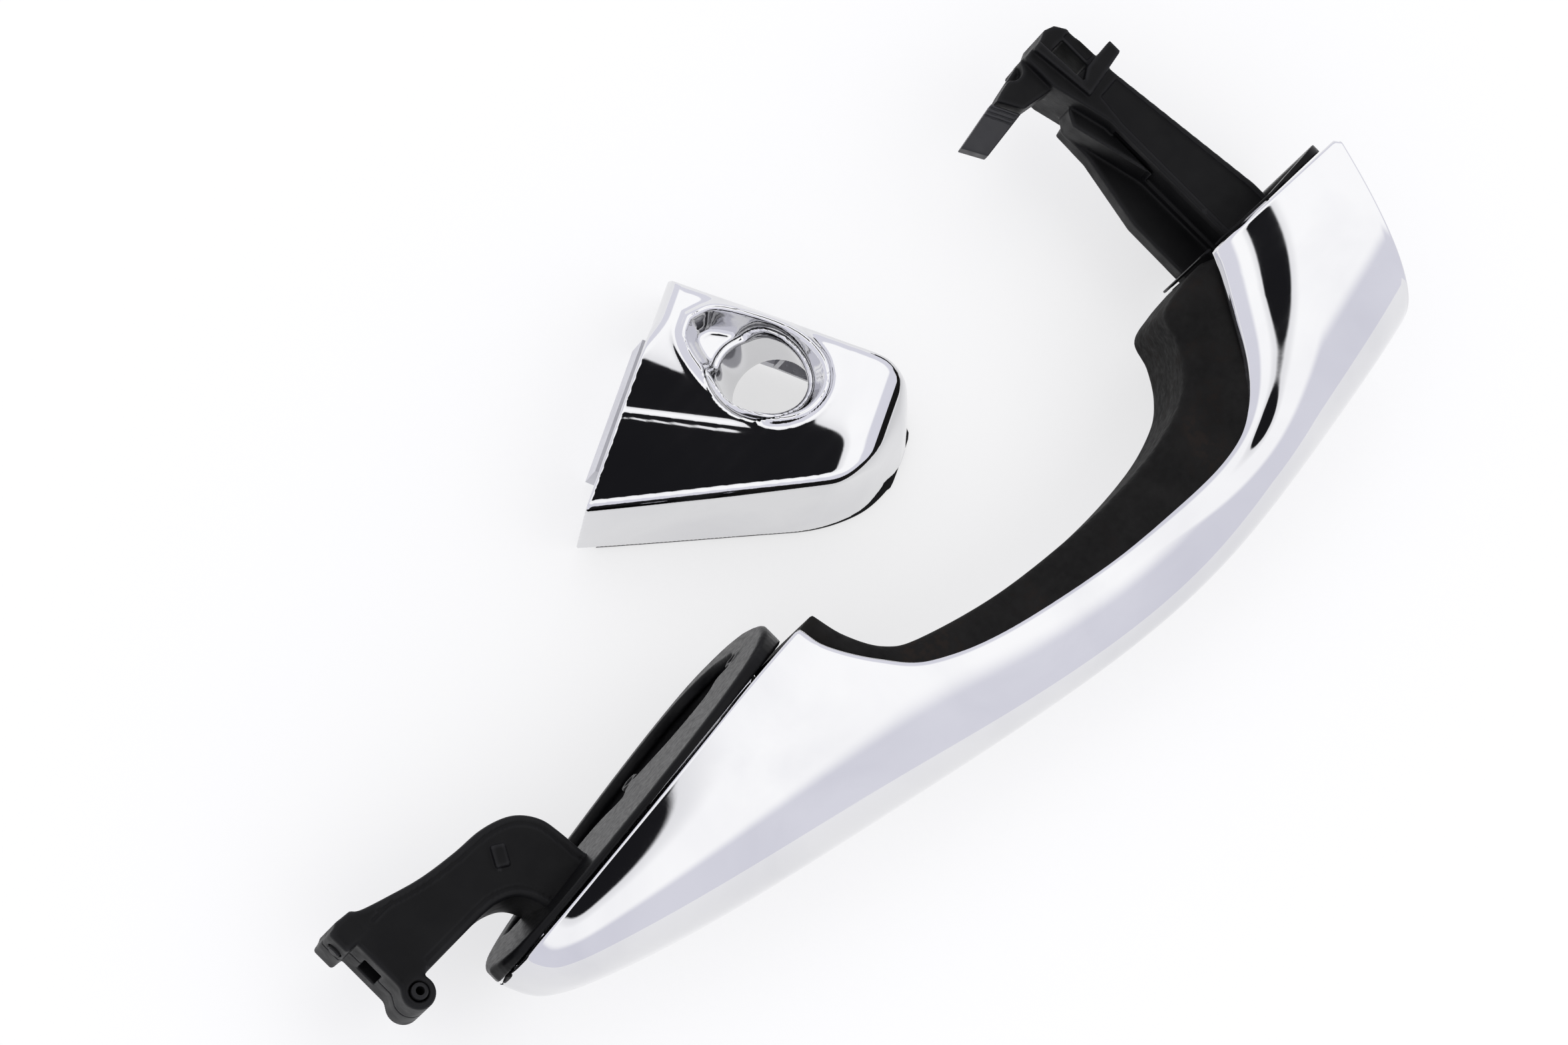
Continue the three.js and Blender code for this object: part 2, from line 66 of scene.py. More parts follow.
# ---- curves -------------------------------------------------------------------------------
def spline(points):
    """A natural cubic spline y(x) through the points, in any order of x."""
    pts = sorted(points)
    xs = np.array([p[0] for p in pts], float)
    ys = np.array([p[1] for p in pts], float)
    h = np.diff(xs)
    n = len(xs)
    system = np.eye(n)
    right = np.zeros(n)
    for i in range(1, n - 1):
        system[i, i - 1:i + 2] = h[i - 1], 2 * (h[i - 1] + h[i]), h[i]
        right[i] = 6 * ((ys[i + 1] - ys[i]) / h[i] - (ys[i] - ys[i - 1]) / h[i - 1])
    bend = np.linalg.solve(system, right)

    def value(x):
        x = np.clip(np.asarray(x, float), xs[0], xs[-1])
        i = np.clip(np.searchsorted(xs, x) - 1, 0, n - 2)
        a = (xs[i + 1] - x) / h[i]
        b = 1 - a
        curved = (a ** 3 - a) * bend[i] + (b ** 3 - b) * bend[i + 1]
        return a * ys[i] + b * ys[i + 1] + curved * h[i] ** 2 / 6

    return value


def smooth_path(points, steps):
    """Points of a smooth path through the given ones, evenly spaced along it."""
    p = np.array(points, float)
    ends = np.vstack([2 * p[0] - p[1], p, 2 * p[-1] - p[-2]])
    fine = []
    for i in range(len(p) - 1):
        t = np.linspace(0, 1, 40, endpoint=False)[:, None]
        a, b, c, d = ends[i:i + 4]
        fine.append(0.5 * (2 * b + (c - a) * t + (2 * a - 5 * b + 4 * c - d) * t ** 2
                           + (3 * b - a - 3 * c + d) * t ** 3))
    fine = np.vstack(fine + [p[-1:]])
    along = np.concatenate([[0], np.cumsum(np.linalg.norm(np.diff(fine, axis=0), axis=1))])
    at = np.linspace(0, along[-1], steps)
    return np.stack([np.interp(at, along, fine[:, k]) for k in range(p.shape[1])], 1)


def smoothstep(low, high, value):
    t = np.clip((value - low) / (high - low), 0, 1)
    return t * t * (3 - 2 * t)


def blur(values, spread):
    """Values smoothed along their order, with both ends kept."""
    reach = int(3 * spread)
    weights = np.exp(-0.5 * (np.arange(-reach, reach + 1) / spread) ** 2)
    padded = np.concatenate([2 * values[0] - values[reach:0:-1], values,
                             2 * values[-1] - values[-2:-reach - 2:-1]])
    return np.convolve(padded, weights / weights.sum(), "valid")


# ---- meshes -------------------------------------------------------------------------------
def mesh_piece(name, points, faces, material, sharp=40, offset=(0, 0, MID_Z)):
    """A mesh object from points in millimetres, with edges above a turn kept sharp."""
    mesh = bpy.data.meshes.new(name)
    mesh.from_pydata([tuple(p) for p in (np.asarray(points) + offset) * MM], [], faces)
    mesh.update()
    obj = bpy.data.objects.new(name, mesh)
    bpy.context.scene.collection.objects.link(obj)
    finish_mesh(obj, material, sharp)
    return obj


def finish_mesh(obj, material, sharp):
    """Closes doubles, turns faces outwards, and sets smooth shading and the material."""
    mesh = obj.data
    work = bmesh.new()
    work.from_mesh(mesh)
    bmesh.ops.remove_doubles(work, verts=work.verts, dist=1e-7)
    bmesh.ops.recalc_face_normals(work, faces=work.faces)
    work.to_mesh(mesh)
    work.free()
    mesh.shade_smooth()
    mesh.set_sharp_from_angle(angle=math.radians(sharp))
    mesh.materials.clear()
    mesh.materials.append(material)


def bake_modifiers(obj):
    """Replaces an object's mesh by the result of its modifiers."""
    bpy.context.view_layer.update()
    result = bpy.data.meshes.new_from_object(
        obj.evaluated_get(bpy.context.evaluated_depsgraph_get()))
    obj.modifiers.clear()
    obj.data = result
    return obj


def place(obj, body, slot, *nodes):
    """Puts a finished piece on its body and hides the nodes it stands for; the finish it is given is
    not used.
    """
    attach(obj, body)
    if nodes:
        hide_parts(*nodes)
    return obj


# ---- rounded solids from distance fields --------------------------------------------------
def skin(field, low, high, step):
    """The surface where a field over x, y, z is zero, as points and four-sided faces."""
    axes = [np.arange(a - 2 * step, b + 3 * step, step, dtype=np.float32)
            for a, b in zip(low, high)]
    grid = np.meshgrid(*axes, indexing="ij", sparse=True)
    value = np.broadcast_to(field(*grid), [len(a) for a in axes]).astype(np.float32)
    inside = value < 0
    cells = tuple(len(a) - 1 for a in axes)
    total = np.zeros(cells + (3,), np.float32)
    count = np.zeros(cells, np.int8)

    def corner(array, c):
        return array[c[0]:c[0] + cells[0], c[1]:c[1] + cells[1], c[2]:c[2] + cells[2]]

    for axis in range(3):
        u, v = [k for k in range(3) if k != axis]
        for cu in (0, 1):
            for cv in (0, 1):
                a = [0, 0, 0]
                a[u], a[v] = cu, cv
                b = list(a)
                b[axis] = 1
                hit = np.nonzero(corner(inside, a) != corner(inside, b))
                va, vb = corner(value, a)[hit], corner(value, b)[hit]
                point = np.tile(np.array(a, np.float32), (len(va), 1))
                point[:, axis] = va / (va - vb)
                total[hit] += point
                count[hit] += 1
    active = count > 0
    index = np.full(cells, -1, np.int64)
    index[active] = np.arange(active.sum())
    where = np.argwhere(active)
    points = (where + total[active] / count[active][:, None]) * step
    points = points + np.array([a[0] for a in axes])
    faces = []
    for axis in range(3):
        u, v = [(1, 2), (2, 0), (0, 1)][axis]
        one = [slice(1, -1)] * 3
        two = [slice(1, -1)] * 3
        one[axis] = slice(0, -1)
        two[axis] = slice(1, None)
        first, second = inside[tuple(one)], inside[tuple(two)]
        hit = np.argwhere(first != second)
        outward = first[tuple(hit.T)]
        base = hit + 1
        base[:, axis] -= 1
        ring = []
        for du, dv in ((-1, -1), (0, -1), (0, 0), (-1, 0)):
            cell = base.copy()
            cell[:, u] += du
            cell[:, v] += dv
            ring.append(index[tuple(cell.T)])
        quad = np.stack(ring, 1)
        quad[~outward] = quad[~outward][:, ::-1]
        faces.append(quad)
    return points, np.vstack(faces).tolist()


def moulded(name, field, low, high, step, material, sharp=55, offset=(0, 0, MID_Z), turn=None):
    """A solid piece with the rounded edges of its distance field."""
    points, faces = skin(field, low, high, step)
    if turn is not None:
        points = points @ turn.T
    return mesh_piece(name, points, faces, material, sharp, offset)


def outline_distance(points, x, y):
    """Signed distance to a closed outline in a plane, negative inside."""
    p = np.array(points, float)
    q = np.roll(p, -1, axis=0)
    best = np.full(np.broadcast(x, y).shape, 1e9)
    inside = np.zeros(best.shape, bool)
    for (ax, ay), (bx, by) in zip(p, q):
        ex, ey = bx - ax, by - ay
        t = np.clip(((x - ax) * ex + (y - ay) * ey) / max(ex * ex + ey * ey, 1e-12), 0, 1)
        best = np.minimum(best, (x - ax - t * ex) ** 2 + (y - ay - t * ey) ** 2)
        if ay != by:
            crosses = ((ay > y) != (by > y)) & (x < ex * (y - ay) / (by - ay) + ax)
            inside ^= crosses
    return np.where(inside, -1, 1) * np.sqrt(best)


def path_distance(points, x, y):
    """Distance to an open path in a plane."""
    best = np.full(np.broadcast(x, y).shape, 1e9)
    for (ax, ay), (bx, by) in zip(points[:-1], points[1:]):
        ex, ey = bx - ax, by - ay
        t = np.clip(((x - ax) * ex + (y - ay) * ey) / max(ex * ex + ey * ey, 1e-12), 0, 1)
        best = np.minimum(best, (x - ax - t * ex) ** 2 + (y - ay - t * ey) ** 2)
    return np.sqrt(best)


def both(a, b, round_edge=0.0):
    """Where two solids overlap, with a rounded edge between them."""
    if not round_edge:
        return np.maximum(a, b)
    a, b = a + round_edge, b + round_edge
    outside = np.sqrt(np.maximum(a, 0) ** 2 + np.maximum(b, 0) ** 2)
    return np.minimum(np.maximum(a, b), 0) + outside - round_edge


def either(a, b, fillet=0.0):
    """Two solids joined, with a fillet between them."""
    if not fillet:
        return np.minimum(a, b)
    t = np.clip(0.5 + 0.5 * (b - a) / fillet, 0, 1)
    return b * (1 - t) + a * t - fillet * t * (1 - t)


def without(a, b, round_edge=0.0):
    """One solid cut by another."""
    return both(a, -b, round_edge)


def slab(points, z0, z1, x, y, z, edge=0.5):
    """A plate with an outline in the XY plane and rounded edges."""
    high = np.abs(z - (z0 + z1) / 2) - (z1 - z0) / 2
    return both(outline_distance(points, x, y), high, edge)


def brick(x0, x1, y0, y1, z0, z1, x, y, z, edge=0.3):
    """A box with rounded edges."""
    dx = np.abs(x - (x0 + x1) / 2) - (x1 - x0) / 2
    dy = np.abs(y - (y0 + y1) / 2) - (y1 - y0) / 2
    dz = np.abs(z - (z0 + z1) / 2) - (z1 - z0) / 2
    return both(both(dx, dy, edge), dz, edge)


def rod(px, py, radius, x, y):
    """An endless round bar along Z."""
    return np.sqrt((x - px) ** 2 + (y - py) ** 2) - radius


# ---- the grip's own lines -----------------------------------------------------------------
NOSE_X = -14.7
TAIL_X = -227.7
TAIL_Y = 9.4
TAIL_LEAN = 0.27
ARCH_START = -91                 # behind this line the shell's edge rolls over the arch
SHELL_WALL = 2.0
SQUARENESS = 2.6                 # 2 would be an ellipse, and more is squarer
crest = spline([(-14.7, 9.6), (-16.6, 13.6), (-20.3, 17.4), (-28, 21), (-41.6, 25.6), (-81, 35.3),
                (-123.2, 44), (-160.4, 47.9), (-195, 44.5), (-218, 40.6), (-240, 35)])
door_line = spline([(-4, 10), (-50, 5.6), (-88, 2.3), (-104, 1.8), (-150, 4), (-196, 7),
                    (-244, 9.2)])
half_height = spline([(-14.7, 5), (-17, 9), (-21, 12.5), (-30, 15.6), (-45, 18.2), (-65, 19.6),
                      (-90, 18.8), (-112, 16.4), (-140, 14.6), (-165, 15.4), (-190, 18.8),
                      (-205, 20.2), (-218, 20.8), (-228, 20.95), (-240, 21)])
ARCH = smooth_path([(-90.8, -12), (-91, -6), (-91.6, 3), (-93, 8), (-98.2, 15.4), (-105.5, 22),
                    (-119.7, 27.4), (-142, 32), (-160.4, 33.8), (-173, 33.8), (-181, 31.6),
                    (-187, 26), (-192.7, 16.4), (-198, 6.2), (-200.5, -6), (-201.6, -14)], 280)
FINGER = smooth_path([(-95.9, 2.1), (-97.6, 8.5), (-101.5, 14.8), (-108, 18.4), (-126, 22.9),
                      (-148, 25.1), (-164, 24.6), (-174, 22.2), (-179, 18.9), (-182.6, 13.9),
                      (-184.6, 8.9), (-190, 7.6), (-196, 7.2)], 140)


def grip_height(x, y):
    """Half the grip's height over a point of its plan."""
    door = door_line(x)
    share = np.clip((y - door) / np.maximum(crest(x) - door, 0.05), 0, 1)
    return half_height(x) * (1 - share ** SQUARENESS) ** (1 / SQUARENESS)


# The shell rolls over its inner edge: how wide and how deep, from front to rear.
roll_width = spline([(-90, 1.2), (-100, 1.4), (-125, 3.0), (-150, 4.0), (-172, 8.5), (-185, 12.5),
                     (-200, 13.5), (-228, 13.5)])
roll_depth = spline([(-90, 0.9), (-100, 1.1), (-125, 2.2), (-150, 2.8), (-172, 4.6), (-185, 5.8),
                     (-200, 6.0), (-228, 6.0)])


def roll_drop(distance, width, depth):
    """How far a quarter-round edge falls at a distance from its rim."""
    t = np.clip(1 - distance / width, 0, 0.985)
    return depth * (1 - np.sqrt(1 - t * t))


# ---- finishes -----------------------------------------------------------------------------
class Finish:
    """A node material with a few helpers for patterns on Object coordinates."""

    def __init__(self, name, color, rough, metallic=0.0, gloss=0.5):
        self.material = bpy.data.materials.new(name)
        self.material.use_nodes = True
        self.nodes = self.material.node_tree.nodes
        self.links = self.material.node_tree.links
        self.shader = self.nodes["Principled BSDF"]
        self.shader.inputs["Base Color"].default_value = (*color, 1)
        self.shader.inputs["Roughness"].default_value = rough
        self.shader.inputs["Metallic"].default_value = metallic
        self.shader.inputs["Specular IOR Level"].default_value = gloss
        self.place = self.nodes.new("ShaderNodeTexCoord").outputs["Object"]

    def noise(self, scale, detail=3.0, stretch=(1, 1, 1), distortion=0.0):
        mapping = self.nodes.new("ShaderNodeMapping")
        mapping.inputs["Scale"].default_value = stretch
        self.links.new(self.place, mapping.inputs["Vector"])
        texture = self.nodes.new("ShaderNodeTexNoise")
        texture.inputs["Scale"].default_value = scale
        texture.inputs["Detail"].default_value = detail
        texture.inputs["Distortion"].default_value = distortion
        self.links.new(mapping.outputs[0], texture.inputs["Vector"])
        return texture.outputs["Fac"]

    def grain(self, scale, spread=1.0):
        texture = self.nodes.new("ShaderNodeTexVoronoi")
        texture.inputs["Scale"].default_value = scale
        texture.inputs["Randomness"].default_value = spread
        self.links.new(self.place, texture.inputs["Vector"])
        return texture.outputs["Distance"]

    def ramp(self, value, *stops):
        """Maps a value to greys or colours at the given stops."""
        node = self.nodes.new("ShaderNodeValToRGB")
        elements = node.color_ramp.elements
        while len(elements) < len(stops):
            elements.new(0.5)
        for element, (at, level) in zip(elements, stops):
            element.position = at
            color = level if isinstance(level, tuple) else (level, level, level)
            element.color = (*color, 1)
        self.links.new(value, node.inputs["Fac"])
        return node.outputs["Color"]

    def mix(self, amount, a, b):
        node = self.nodes.new("ShaderNodeMix")
        node.data_type = "RGBA"
        for socket, value in ((node.inputs[0], amount), (node.inputs[6], a), (node.inputs[7], b)):
            if isinstance(value, bpy.types.NodeSocket):
                self.links.new(value, socket)
            else:
                socket.default_value = (*value, 1) if isinstance(value, tuple) else value
        return node.outputs[2]

    def times(self, a, b):
        node = self.nodes.new("ShaderNodeMath")
        node.operation = "MULTIPLY"
        for socket, value in zip(node.inputs, (a, b)):
            if isinstance(value, bpy.types.NodeSocket):
                self.links.new(value, socket)
            else:
                socket.default_value = value
        return node.outputs[0]

    def edges(self, low=0.505, high=0.56):
        """Where the surface turns a convex edge."""
        return self.ramp(self.nodes.new("ShaderNodeNewGeometry").outputs["Pointiness"],
                         (low, 0.0), (high, 1.0))

    def to(self, socket, value):
        self.links.new(value, self.shader.inputs[socket])

    def bump(self, *layers):
        """Stacks bump layers, each a height, its depth in metres and its strength."""
        before = None
        for height, depth, strength in layers:
            node = self.nodes.new("ShaderNodeBump")
            node.inputs["Distance"].default_value = depth
            node.inputs["Strength"].default_value = strength
            self.links.new(height, node.inputs["Height"])
            if before:
                self.links.new(before, node.inputs["Normal"])
            before = node.outputs["Normal"]
        self.to("Normal", before)


def chrome_finish():
    f = Finish("bright_chrome", (0.72, 0.72, 0.73), 0.03, metallic=1.0)
    film = f.noise(38, 4, distortion=0.6)
    f.to("Base Color", f.ramp(film, (0.3, (0.69, 0.69, 0.71)), (0.62, (0.76, 0.76, 0.77))))
    wipes = f.noise(420, 3, stretch=(0.15, 1, 1))
    f.to("Roughness", f.mix(f.ramp(film, (0.45, 0.0), (0.75, 1.0)), f.ramp(
        wipes, (0.3, 0.025), (0.7, 0.045)), f.ramp(wipes, (0.3, 0.05), (0.7, 0.09))))
    f.bump((f.noise(55, 2), 0.00008, 0.10), (f.noise(900, 2), 0.000006, 0.15))
    return f.material


def satin_black_finish():
    f = Finish("moulded_black_nylon", (0.005, 0.005, 0.0055), 0.46, gloss=0.13)
    cloud = f.noise(90, 4)
    base = f.ramp(cloud, (0.3, (0.003, 0.003, 0.0034)), (0.7, (0.0065, 0.0065, 0.007)))
    f.to("Base Color", f.mix(f.times(f.edges(), 0.35), base, (0.04, 0.04, 0.042)))
    f.to("Roughness", f.ramp(f.noise(260, 3), (0.3, 0.38), (0.7, 0.56)))
    f.bump((f.grain(1500), 0.00003, 0.35), (f.noise(240, 3), 0.00006, 0.3))
    return f.material


def grip_finish():
    f = Finish("grained_black_grip", (0.008, 0.0077, 0.0074), 0.72, gloss=0.12)
    worn = f.noise(30, 5, distortion=1.2)
    specks = f.noise(700, 2)
    dust = f.times(f.ramp(worn, (0.5, 0.0), (0.72, 1.0)), f.ramp(specks, (0.45, 0.1), (0.65, 1.0)))
    base = f.ramp(f.noise(160, 3), (0.3, (0.006, 0.0058, 0.0056)), (0.7, (0.0105, 0.010, 0.0096)))
    f.to("Base Color", f.mix(f.times(dust, 0.45), base, (0.04, 0.026, 0.019)))
    f.to("Roughness", f.ramp(specks, (0.3, 0.62), (0.7, 0.84)))
    f.bump((f.grain(1300), 0.00006, 0.55), (f.noise(420, 4), 0.00005, 0.4))
    return f.material


def pad_finish():
    f = Finish("satin_black_rubber", (0.005, 0.005, 0.0055), 0.34, gloss=0.12)
    haze = f.noise(60, 4)
    f.to("Base Color", f.ramp(haze, (0.3, (0.0035, 0.0035, 0.004)), (0.7, (0.007, 0.007, 0.0075))))
    specks = f.noise(1100, 2)
    f.to("Roughness", f.ramp(specks, (0.35, 0.30), (0.7, 0.42)))
    f.bump((f.noise(350, 3), 0.00001, 0.2), (f.grain(1800), 0.000006, 0.25))
    return f.material


def steel_finish():
    f = Finish("turned_steel", (0.42, 0.42, 0.44), 0.3, metallic=1.0)
    rings = f.noise(900, 2, stretch=(1, 1, 6))
    f.to("Base Color", f.ramp(f.noise(300, 3), (0.3, (0.34, 0.34, 0.36)), (0.7, (0.5, 0.5, 0.52))))
    f.to("Roughness", f.ramp(rings, (0.3, 0.22), (0.7, 0.42)))
    f.bump((rings, 0.00001, 0.4))
    return f.material


def grey_finish(name, dark, light, rough):
    f = Finish(name, dark, rough, gloss=0.4)
    f.to("Base Color", f.ramp(f.noise(120, 4), (0.3, dark), (0.7, light)))
    f.to("Roughness", f.ramp(f.noise(500, 2), (0.3, rough - 0.06), (0.7, rough + 0.1)))
    f.bump((f.grain(1400), 0.00002, 0.3), (f.noise(200, 3), 0.00004, 0.25))
    return f.material


CHROME = chrome_finish()
SATIN_BLACK = satin_black_finish()
GRIP_BLACK = grip_finish()
PAD_BLACK = pad_finish()
STEEL = steel_finish()
TONGUE_GREY = grey_finish("tongue_grey", (0.016, 0.016, 0.018), (0.026, 0.026, 0.03), 0.4)
FRAME_GREY = grey_finish("frame_grey", (0.60, 0.60, 0.63), (0.68, 0.68, 0.71), 0.45)


# ---- camera, floor and light --------------------------------------------------------------
def studio():
    view = Vector((0.339, 0, 0.941)).normalized()        # from the handle to the camera
    forward = Vector((view.z, 0, -view.x))
    out = Vector((0, 1, 0))
    right = (out - forward).normalized()
    up = (-out - forward).normalized()
    target = Vector((-0.1072, -0.0126, 0.0151))
    distance = 1.6
    frame_width = 0.274
    data = bpy.data.cameras.new("camera")
    camera = bpy.data.objects.new("camera", data)
    bpy.context.scene.collection.objects.link(camera)
    pose = Matrix((right, up, view)).transposed().to_4x4()
    pose.translation = target + view * distance
    camera.matrix_world = pose
    data.sensor_width = 36
    data.lens = 36 * distance / frame_width
    data.clip_end = 20
    bpy.context.scene.camera = camera

    bpy.ops.mesh.primitive_plane_add(size=8, location=(0, 0, FLOOR_Z * MM - 0.00005))
    floor = bpy.context.object
    floor.name = "floor"
    paper = bpy.data.materials.new("pale_floor")
    paper.use_nodes = True
    shader = paper.node_tree.nodes["Principled BSDF"]
    shader.inputs["Base Color"].default_value = (0.40, 0.40, 0.40, 1)
    shader.inputs["Roughness"].default_value = 0.9
    shader.inputs["Specular IOR Level"].default_value = 0.1
    shader.inputs["Emission Color"].default_value = (1, 1, 1, 1)
    shader.inputs["Emission Strength"].default_value = 0.62
    floor.data.materials.append(paper)
    tent()
    bpy.context.scene.view_settings.view_transform = "Standard"


PORT_DIRECTION = (0.08, -0.04, 1)


def tent():
    """A white light tent: pale grey walls, and a white roof with a dark port."""
    world = bpy.data.worlds.new("light_tent")
    bpy.context.scene.world = world
    world.use_nodes = True
    nodes, links = world.node_tree.nodes, world.node_tree.links
    toward = nodes.new("ShaderNodeTexCoord").outputs["Generated"]

    def along(direction, low, high):
        dot = nodes.new("ShaderNodeVectorMath")
        dot.operation = "DOT_PRODUCT"
        dot.inputs[1].default_value = Vector(direction).normalized()
        links.new(toward, dot.inputs[0])
        step = nodes.new("ShaderNodeMapRange")
        step.interpolation_type = "SMOOTHSTEP"
        step.inputs["From Min"].default_value = low
        step.inputs["From Max"].default_value = high
        links.new(dot.outputs["Value"], step.inputs["Value"])
        return step.outputs["Result"]

    def blend(amount, a, b):
        mix = nodes.new("ShaderNodeMix")
        mix.data_type = "RGBA"
        links.new(amount, mix.inputs[0])
        for socket, value in ((mix.inputs[6], a), (mix.inputs[7], b)):
            if isinstance(value, bpy.types.NodeSocket):
                links.new(value, socket)
            else:
                socket.default_value = (*value, 1)
        return mix.outputs[2]

    roof = along((0, 0, 1), math.sin(math.radians(40)), math.sin(math.radians(50)))
    port = along(PORT_DIRECTION, math.cos(math.radians(15.5)), math.cos(math.radians(13.5)))
    light = blend(roof, (0.86, 0.86, 0.95), (1.24, 1.24, 1.25))
    halo = along(PORT_DIRECTION, math.cos(math.radians(23)), math.cos(math.radians(15)))
    light = blend(halo, light, (1.02, 1.02, 1.04))
    light = blend(port, light, (0.012, 0.012, 0.014))
    background = nodes["Background"]
    links.new(light, background.inputs["Color"])
    background.inputs["Strength"].default_value = 1.0


# ---- chrome shell -------------------------------------------------------------------------
def shell_paths():
    """The plan's inner path, from nose to tail, and the crest point each one runs to."""
    steps = 330
    low = [p for p in ARCH if p[1] > door_line(p[0])]
    front = [(x, float(door_line(x))) for x in np.linspace(NOSE_X, low[0][0], 80)]
    rear = [(x, float(door_line(x))) for x in np.linspace(low[-1][0], TAIL_X, 40)]
    inner = np.array(front[:-1] + [tuple(p) for p in low] + rear[1:], float)
    inner[-1, 1] = TAIL_Y
    along = np.concatenate([[0], np.cumsum(np.linalg.norm(np.diff(inner, axis=0), axis=1))])
    at = np.linspace(0, along[-1], steps)
    inner = np.stack([np.interp(at, along, inner[:, k]) for k in (0, 1)], 1)
    top_x = TAIL_X
    for _ in range(30):
        top_x = TAIL_X + TAIL_LEAN * (float(crest(top_x)) - TAIL_Y)
    lean = (top_x - TAIL_X) * smoothstep(TAIL_X + 45, TAIL_X, inner[:, 0])
    outer_x = blur(inner[:, 0] + lean, 14)
    outer_x = np.maximum.accumulate(outer_x[::-1])[::-1]
    outer_x += (top_x - outer_x[-1]) * smoothstep(TAIL_X + 40, TAIL_X, inner[:, 0])
    outer_x[0] = NOSE_X
    return inner, np.stack([outer_x, crest(outer_x)], 1)


def outer_shell():
    inner, outer = shell_paths()
    roll_share = np.linspace(0, 1, 26) ** 1.4
    crown_share = np.sin(np.linspace(0, math.pi / 2, 34))[1:]
    length = np.linalg.norm(outer - inner, axis=1)
    zone = np.minimum(15.0, 0.45 * length) / np.maximum(length, 1e-6)
    share = np.concatenate([roll_share[None] * zone[:, None],
                            zone[:, None] + (1 - zone[:, None]) * crown_share[None]], 1)
    plan = inner[:, None] + (outer - inner)[:, None] * share[..., None]
    x, y = plan[..., 0], plan[..., 1]
    height = grip_height(x, y)
    to_arch = path_distance(ARCH, x, y)
    height = height - np.where(x < ARCH_START, roll_drop(to_arch, roll_width(x), roll_depth(x)), 0)
    from_edge = share * length[:, None]
    height = np.maximum(height - roll_drop(from_edge, 0.7, 0.6), 0.0)
    height[:, -1] = 0
    top = np.concatenate([plan, height[..., None]], 2)
    under = top[:, :-1][:, ::-1] * np.array([1, 1, -1])
    rings = np.concatenate([top, under], 1)
    # The end face: the last ring turns in over a small edge and runs to the door side.
    last = rings[-1]
    centre = np.array([TAIL_X, TAIL_Y, 0])
    inward = np.array([1, -TAIL_LEAN, 0]) / math.hypot(1, TAIL_LEAN)
    edge, support = 0.35, 0.05
    # Rings that come closer to the end face than its edge are left out, so none folds over.
    clear = ((rings[:-1] - centre) @ inward).min(axis=1) > edge + 8 * support
    rings = np.concatenate([rings[:-1][clear], [last + inward * (edge + support)]], 0)
    extra = [last + inward * edge]
    for turn in (30, 60, 90):
        a = math.radians(turn)
        span = np.linalg.norm(last - centre, axis=1, keepdims=True)
        shrink = np.maximum(1 - edge * (1 - math.cos(a)) / np.maximum(span, 1), 0)
        extra.append(centre + (last - centre) * shrink + inward * edge * (1 - math.sin(a)))
    face_edge = extra[-1]
    for scale in (0.997, 0.9, 0.6, 0.3, 0.02):
        extra.append(centre + (face_edge - centre) * scale)
    rings = np.concatenate([rings, np.array(extra)], 0)
    count = rings.shape[1]
    faces = []
    for r in range(len(rings) - 1):
        for c in range(count - 1):
            a = r * count + c
            faces.append((a, a + 1, a + count + 1, a + count))
    shell = mesh_piece("outer_shell_skin", rings.reshape(-1, 3), faces, CHROME, 50)
    if sum(p.normal.z for p in shell.data.polygons if p.center.z > (MID_Z + 12) * MM) < 0:
        shell.data.flip_normals()
    wall = shell.modifiers.new("wall", "SOLIDIFY")
    wall.thickness = SHELL_WALL * MM
    wall.offset = -1
    wall.use_even_offset = False
    wall.use_quality_normals = True
    bake_modifiers(shell)
    keep_inside(shell)
    finish_mesh(shell, CHROME, 50)
    place(shell, "grip", "chrome", "outer_shell")


def keep_inside(shell):
    """Holds the wall's inner layer inside the flanks and the end face at the sharp corners."""
    count = len(shell.data.vertices)
    points = np.empty(count * 3)
    shell.data.vertices.foreach_get("co", points)
    points = points.reshape(count, 3) / MM
    points[:, 0] = np.maximum(points[:, 0], TAIL_X + TAIL_LEAN * (points[:, 1] - TAIL_Y))
    most = half_height(points[:, 0])
    points[:, 2] = MID_Z + np.clip(points[:, 2] - MID_Z, -most, most)
    shell.data.vertices.foreach_set("co", (points * MM).ravel())
    shell.data.update()


# ---- black grip ---------------------------------------------------------------------------
def grip_inner():
    inside = [p for p in ARCH if p[1] > door_line(p[0]) + 0.2]
    mids = np.array(inside)
    step = np.gradient(mids, axis=0)
    normal = np.stack([step[:, 1], -step[:, 0]], 1) / np.linalg.norm(step, axis=1)[:, None]
    tuck = mids - normal * np.minimum(2.6, np.linspace(0.4, 2.6, len(mids)) * 3)[:, None]
    if tuck[len(tuck) // 2][1] < mids[len(mids) // 2][1]:
        tuck = mids + (mids - tuck)
    outline = list(map(tuple, tuck)) + list(map(tuple, FINGER[::-1]))

    def field(x, y, z):
        flat = outline_distance(outline, x, y)
        top = half_height(x) * 0.985 - roll_depth(x) - 0.35
        return both(flat, np.abs(z) - top, 2.4)

    grip = moulded("grip_inner_skin", field, (-199, 0, -20), (-92, 38, 20), 0.4, GRIP_BLACK)
    place(grip, "grip", "grained_black", "grip_inner")


